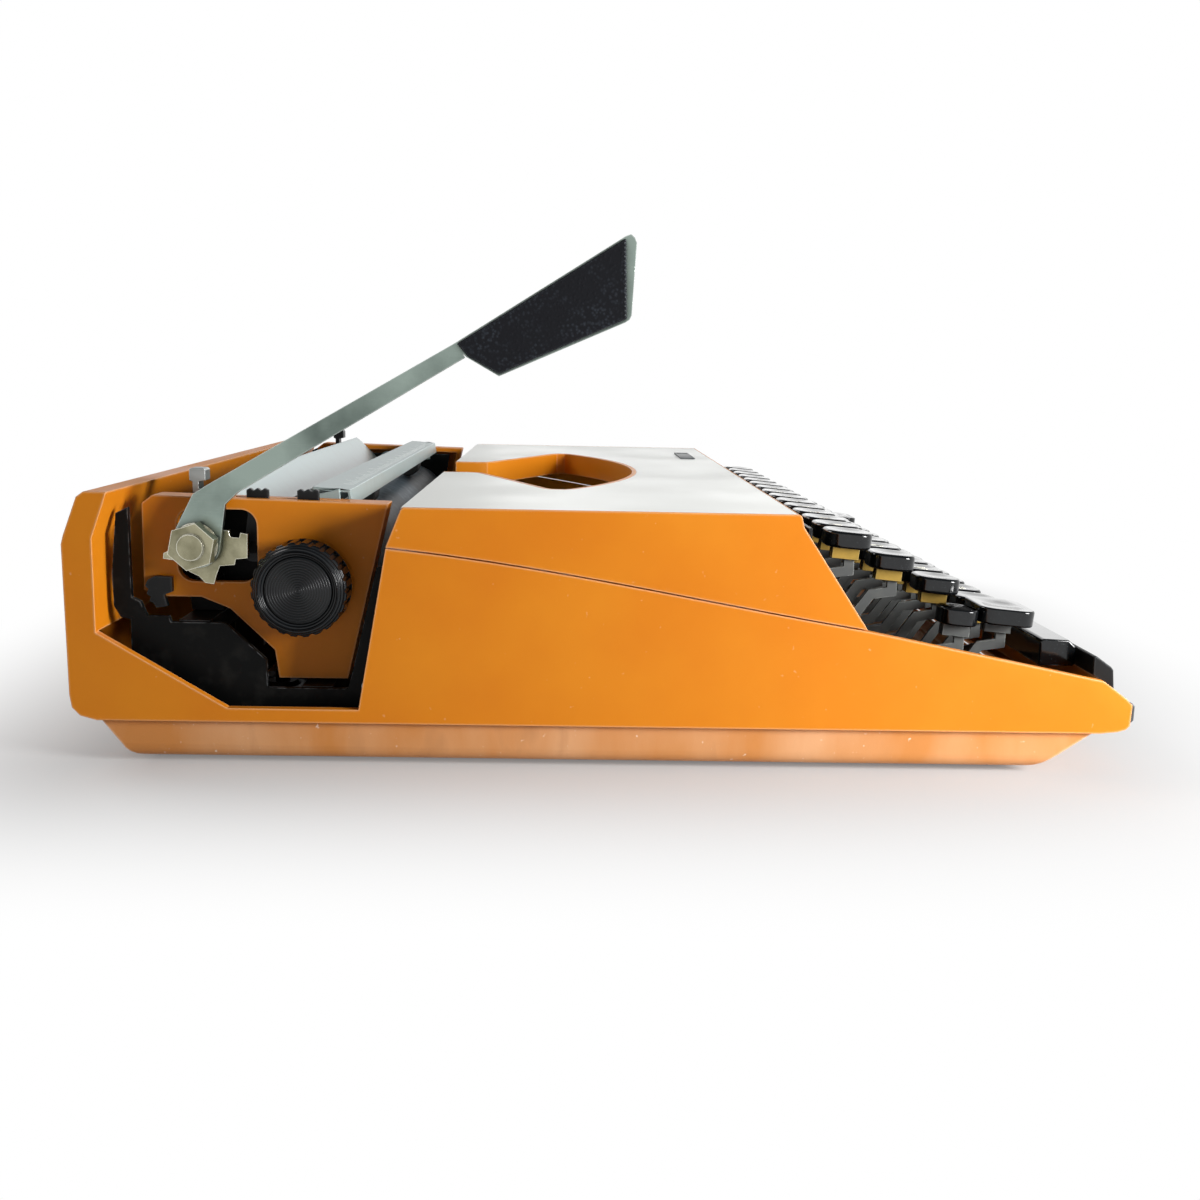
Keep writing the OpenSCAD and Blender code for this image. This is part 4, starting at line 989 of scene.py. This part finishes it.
@dataclass
class Keyboard(SubAssembly):
    """Keys with plain legends, clips, levers, space bar and shift keys.

    Attributes:
        rows: Names of the four rows, from the rear.
        legends: What each row's keys carry from the left, a space for a bare key.
        first: Place of each row's first key in key pitches.
        centre: Row and number of the key that moves on its own.
        pitch: Distance from key to key in mm.
        row_y: Y of each row in mm.
        row_z: Height of each row's key tops in mm.
        tilt: Tilt of the key tops in degrees.
        dish: Depth of a key top's dish in mm.
        dish_radius: Radius of the ball that forms the dish, in mm.
        letter: Height of a legend in mm.
        letter_em: Font size for a legend of height 1.
        letter_depth: Half thickness of a legend in mm.
        key_edge: Width of the rounded edge of a key in mm.
    """

    rows: tuple[str, ...] = ("number", "upper", "home", "lower")
    legends: tuple[str, ...] = (" 1234567890-=  ", " QWERTYUIOP[] ", " ASDFGHJKL;'  ", " ZXCVBNM,./ ")
    first: tuple[float, ...] = (-7.0, -6.5, -6.25, -5.75)
    centre: tuple[int, int] = (2, 6)
    pitch: float = 19.0
    row_y: tuple[float, ...] = (-77.5, -94.7, -111.9, -129.1)
    row_z: tuple[float, ...] = (74.1, 65.7, 57.3, 48.9)
    tilt: float = 5.0
    dish: float = 0.6
    dish_radius: float = 32.6
    letter: float = 4.6
    letter_em: float = 1.4
    letter_depth: float = 0.14
    key_edge: float = 1.1

    def dress(self) -> None:
        """Finishes the CAD pieces of the keyboard."""
        tops = [f"{row}_row_tops" for row in self.rows] + ["centre_key_top", "shift_key_tops", "space_bar"]
        levers = [f"{row}_row_levers" for row in self.rows] + ["centre_key_lever", "shift_arms", "space_arms"]
        for node in tops:
            dress(node, KEY_BLACK, self.key_edge, 3)
        for node in levers:
            dress(node, LEVER_STEEL, 0.15, 1)
        for row in self.rows:
            dress(f"{row}_row_clips", BRASS, 0.2, 1)

    def glyph(self, sign: str) -> bpy.types.Mesh:
        """The thin mesh of one sign, centred on the origin and bent to the dish of a key.

        Args:
            sign: The letter, digit or mark.

        Returns:
            Its mesh in metres.
        """
        curve = bpy.data.curves.new("legend", "FONT")
        curve.body = sign
        curve.size = self.letter * MM * self.letter_em
        curve.align_x = "CENTER"
        curve.extrude = self.letter_depth * MM
        curve.resolution_u = 3
        shape = bpy.data.objects.new("legend", curve)
        mesh = bpy.data.meshes.new_from_object(shape)
        bpy.data.objects.remove(shape)
        middle = (min(v.co.y for v in mesh.vertices) + max(v.co.y for v in mesh.vertices)) / 2
        mesh.transform(Matrix.Translation((0.0, -middle, 0.0)))
        ball = self.dish_radius * MM
        for point in mesh.vertices:
            point.co.z += ball - math.sqrt(ball ** 2 - point.co.x ** 2 - point.co.y ** 2)
        return mesh

    def build(self) -> None:
        """Adds the filled legends, row by row."""
        for k, row in enumerate(self.rows):
            parts = {f"{row}_row": bmesh.new()}
            for i, sign in enumerate(self.legends[k]):
                if sign.isspace():
                    continue
                body = "centre_key" if (k, i) == self.centre else f"{row}_row"
                if body not in parts:
                    parts[body] = bmesh.new()
                place = Vector(((self.first[k] + i) * self.pitch, self.row_y[k], self.row_z[k])) * MM
                turn = Matrix.Rotation(math.radians(self.tilt), 4, "X")
                glyph = self.glyph(sign)
                glyph.transform(Matrix.Translation(place) @ turn @ Matrix.Translation((0.0, 0.0, -self.dish * MM)))
                parts[body].from_mesh(glyph)
                bpy.data.meshes.remove(glyph)
            for body, mesh in parts.items():
                add_piece(f"{body}_legends", mesh, LEGEND_FILL, body)


@dataclass(frozen=True)
class Lamp:
    """A soft square lamp.

    Attributes:
        name: Its name.
        place: Its position in metres.
        aim: The point that it looks at.
        size: Its side in metres.
        power: Its power in watts.
    """

    name: str
    place: Triple
    aim: Triple
    size: float
    power: float

    def build(self) -> None:
        """Hangs the lamp."""
        data = bpy.data.lights.new(self.name, "AREA")
        data.size = self.size
        data.energy = self.power
        lamp = bpy.data.objects.new(self.name, data)
        turn = (Vector(self.aim) - Vector(self.place)).to_track_quat("-Z", "Y").to_matrix().to_4x4()
        lamp.matrix_world = Matrix.Translation(self.place) @ turn
        bpy.context.scene.collection.objects.link(lamp)


@dataclass
class Studio:
    """A pale floor, soft lamps and the camera of the photograph.

    Attributes:
        camera_place: Camera position in metres.
        pitch: How far the camera looks down, in degrees.
        yaw: How far it looks to the left of straight along X, in degrees.
        roll: How far it leans, in degrees.
        lens: Focal length in mm on a 36 mm sensor.
        fill: Strength of the world's even light.
        ceiling: Tone of the ceiling, as sRGB hex.
        ceiling_rise: Sine of the heights between which the walls go over to the ceiling.
        paper: Tone of the floor, as sRGB hex.
        floor_half: Half side of the floor in metres.
        footprint: Half width and half depth in metres of the floor that the object covers.
        fade: Distances in metres past the footprint between which the painted shadow round the object goes over to
            white.
        fade_least: Share of white where the fade starts, in the darkest of the painted shadow.
        lamps: The lamps.
    """

    camera_place: Triple = (-0.5392, 0.0149, 0.1241)
    pitch: float = 10.42
    yaw: float = -1.65
    roll: float = 1.24
    lens: float = 37.6
    fill: float = 0.1
    ceiling: str = "#505458"
    ceiling_rise: Pair = (0.3, 0.75)
    paper: str = "#c4c4c4"
    floor_half: float = 6.0
    footprint: Pair = (0.15, 0.15)
    fade: Pair = (-0.03, 0.13)
    fade_least: float = 0.1
    lamps: tuple[Lamp, ...] = (
        Lamp("key_lamp", (-0.4, -0.47, 0.19), (-0.16, -0.08, 0.03), 0.2, 5.4),
        Lamp("right_lamp", (1.0, -0.25, 0.5), (0.0, -0.05, 0.05), 0.8, 1.6),
        Lamp("rear_lamp", (0.5, 1.0, 0.9), (0.0, 0.0, 0.05), 0.7, 7.0),
    )

    def camera(self) -> None:
        """Places the camera."""
        p, y, lean = (math.radians(a) for a in (self.pitch, self.yaw, self.roll))
        ahead = Vector((math.cos(p) * math.cos(y), math.cos(p) * math.sin(y), -math.sin(p)))
        right = ahead.cross(Vector((0, 0, 1))).normalized()
        up = right.cross(ahead)
        across = right * math.cos(lean) + up * math.sin(lean)
        above = up * math.cos(lean) - right * math.sin(lean)
        data = bpy.data.cameras.new("photo_camera")
        data.lens = self.lens
        data.sensor_width = 36.0
        data.clip_start = 0.01
        turned = Matrix((across, above, -ahead)).transposed().to_4x4()
        eye = bpy.data.objects.new("photo_camera", data)
        eye.matrix_world = Matrix.Translation(self.camera_place) @ turned
        bpy.context.scene.collection.objects.link(eye)
        bpy.context.scene.camera = eye

    def seen(self, tree: NodeTree) -> Node:
        """Tells rays that show the background or its reflection from rays of light.

        Args:
            tree: The node tree to add to.

        Returns:
            A node that gives 1 for rays that show it and 0 for light.
        """
        path = add_node(tree, "ShaderNodeLightPath")
        either = add_node(tree, "ShaderNodeMath", {
            "operation": "MAXIMUM"}, {0: path.outputs["Is Camera Ray"], 1: path.outputs["Is Glossy Ray"]})
        return add_node(tree, "ShaderNodeMath", {
            "operation": "MAXIMUM"}, {0: either, 1: path.outputs["Is Transmission Ray"]})

    def world(self) -> None:
        """Makes the world white to look at, under a dim ceiling, and an even soft light otherwise."""
        world = bpy.data.worlds.new("studio")
        world.use_nodes = True
        tree = world.node_tree
        tree.nodes.clear()
        light = add_node(tree, "ShaderNodeBackground", {"Color": WHITE, "Strength": self.fill})
        where = add_node(tree, "ShaderNodeTexCoord")
        height = add_node(tree, "ShaderNodeSeparateXYZ", links={"Vector": where.outputs["Generated"]})
        rise = add_node(tree, "ShaderNodeMapRange", {
            "From Min": self.ceiling_rise[0], "From Max": self.ceiling_rise[1]}, {"Value": height.outputs["Z"]})
        room = add_node(tree, "ShaderNodeMix", {
            "data_type": "RGBA", MIX_A: WHITE, MIX_B: linear(self.ceiling)}, {0: rise})
        white = add_node(tree, "ShaderNodeBackground", {"Strength": 1.0}, {"Color": room})
        mix = add_node(tree, "ShaderNodeMixShader", links={0: self.seen(tree), 1: light, 2: white})
        add_node(tree, "ShaderNodeOutputWorld", links={"Surface": mix})
        bpy.context.scene.world = world

    def floor(self) -> None:
        """Lays a pale floor that keeps the real shadow, with a painted shadow round the object that fades to white."""
        mesh = bmesh.new()
        bmesh.ops.create_grid(mesh, x_segments=1, y_segments=1, size=self.floor_half)
        data = bpy.data.meshes.new("studio_floor")
        mesh.to_mesh(data)
        mesh.free()
        # A matt paper roll, without shine, which carries the real shadow and, round the object, a painted shadow.
        paper = bpy.data.materials.new("White studio paper")
        paper.use_nodes = True
        tree = paper.node_tree
        tree.nodes.clear()
        matt = add_node(tree, "ShaderNodeBsdfDiffuse", {"Color": linear(self.paper)})
        white = add_node(tree, "ShaderNodeEmission", {"Color": WHITE, "Strength": 1.0})
        where = add_node(tree, "ShaderNodeTexCoord")
        # Painted shadow: near the object's footprint the floor is seen darker, fading to white farther out.
        either = add_node(tree, "ShaderNodeVectorMath", {"operation": "ABSOLUTE"}, {0: where.outputs["Object"]})
        past = add_node(tree, "ShaderNodeVectorMath", {
            "operation": "SUBTRACT", 1: (*self.footprint, 0.0)}, {0: either})
        outside = add_node(tree, "ShaderNodeVectorMath", {"operation": "MAXIMUM", 1: (0.0, 0.0, 0.0)}, {0: past})
        away = add_node(tree, "ShaderNodeVectorMath", {"operation": "LENGTH"}, {0: outside})
        fade = add_node(tree, "ShaderNodeMapRange", {
            "interpolation_type": "SMOOTHSTEP", "From Min": self.fade[0], "From Max": self.fade[1],
            "To Min": self.fade_least, "To Max": 1.0}, {"Value": away})
        share = add_node(tree, "ShaderNodeMath", {"operation": "MULTIPLY"}, {0: fade, 1: self.seen(tree)})
        mix = add_node(tree, "ShaderNodeMixShader", links={0: share, 1: matt, 2: white})
        add_node(tree, "ShaderNodeOutputMaterial", links={"Surface": mix})
        data.materials.append(paper)
        floor = bpy.data.objects.new("studio_floor", data)
        bpy.context.scene.collection.objects.link(floor)

    def build(self) -> None:
        """Sets up the whole studio."""
        bpy.context.scene.view_settings.view_transform = "Standard"
        self.world()
        self.floor()
        for lamp in self.lamps:
            lamp.build()
        self.camera()


def main() -> None:
    """Builds and dresses the typewriter piece by piece, then its studio."""
    logging.basicConfig(level=logging.INFO, format="%(message)s")
    groups: Sequence[SubAssembly] = (Casing(), Mechanism(), Ribbon(), Carriage(), ReturnLever(), Keyboard())
    for group in groups:
        group.dress()
        group.build()
    Studio().build()


if __name__ == "__main__":
    main()
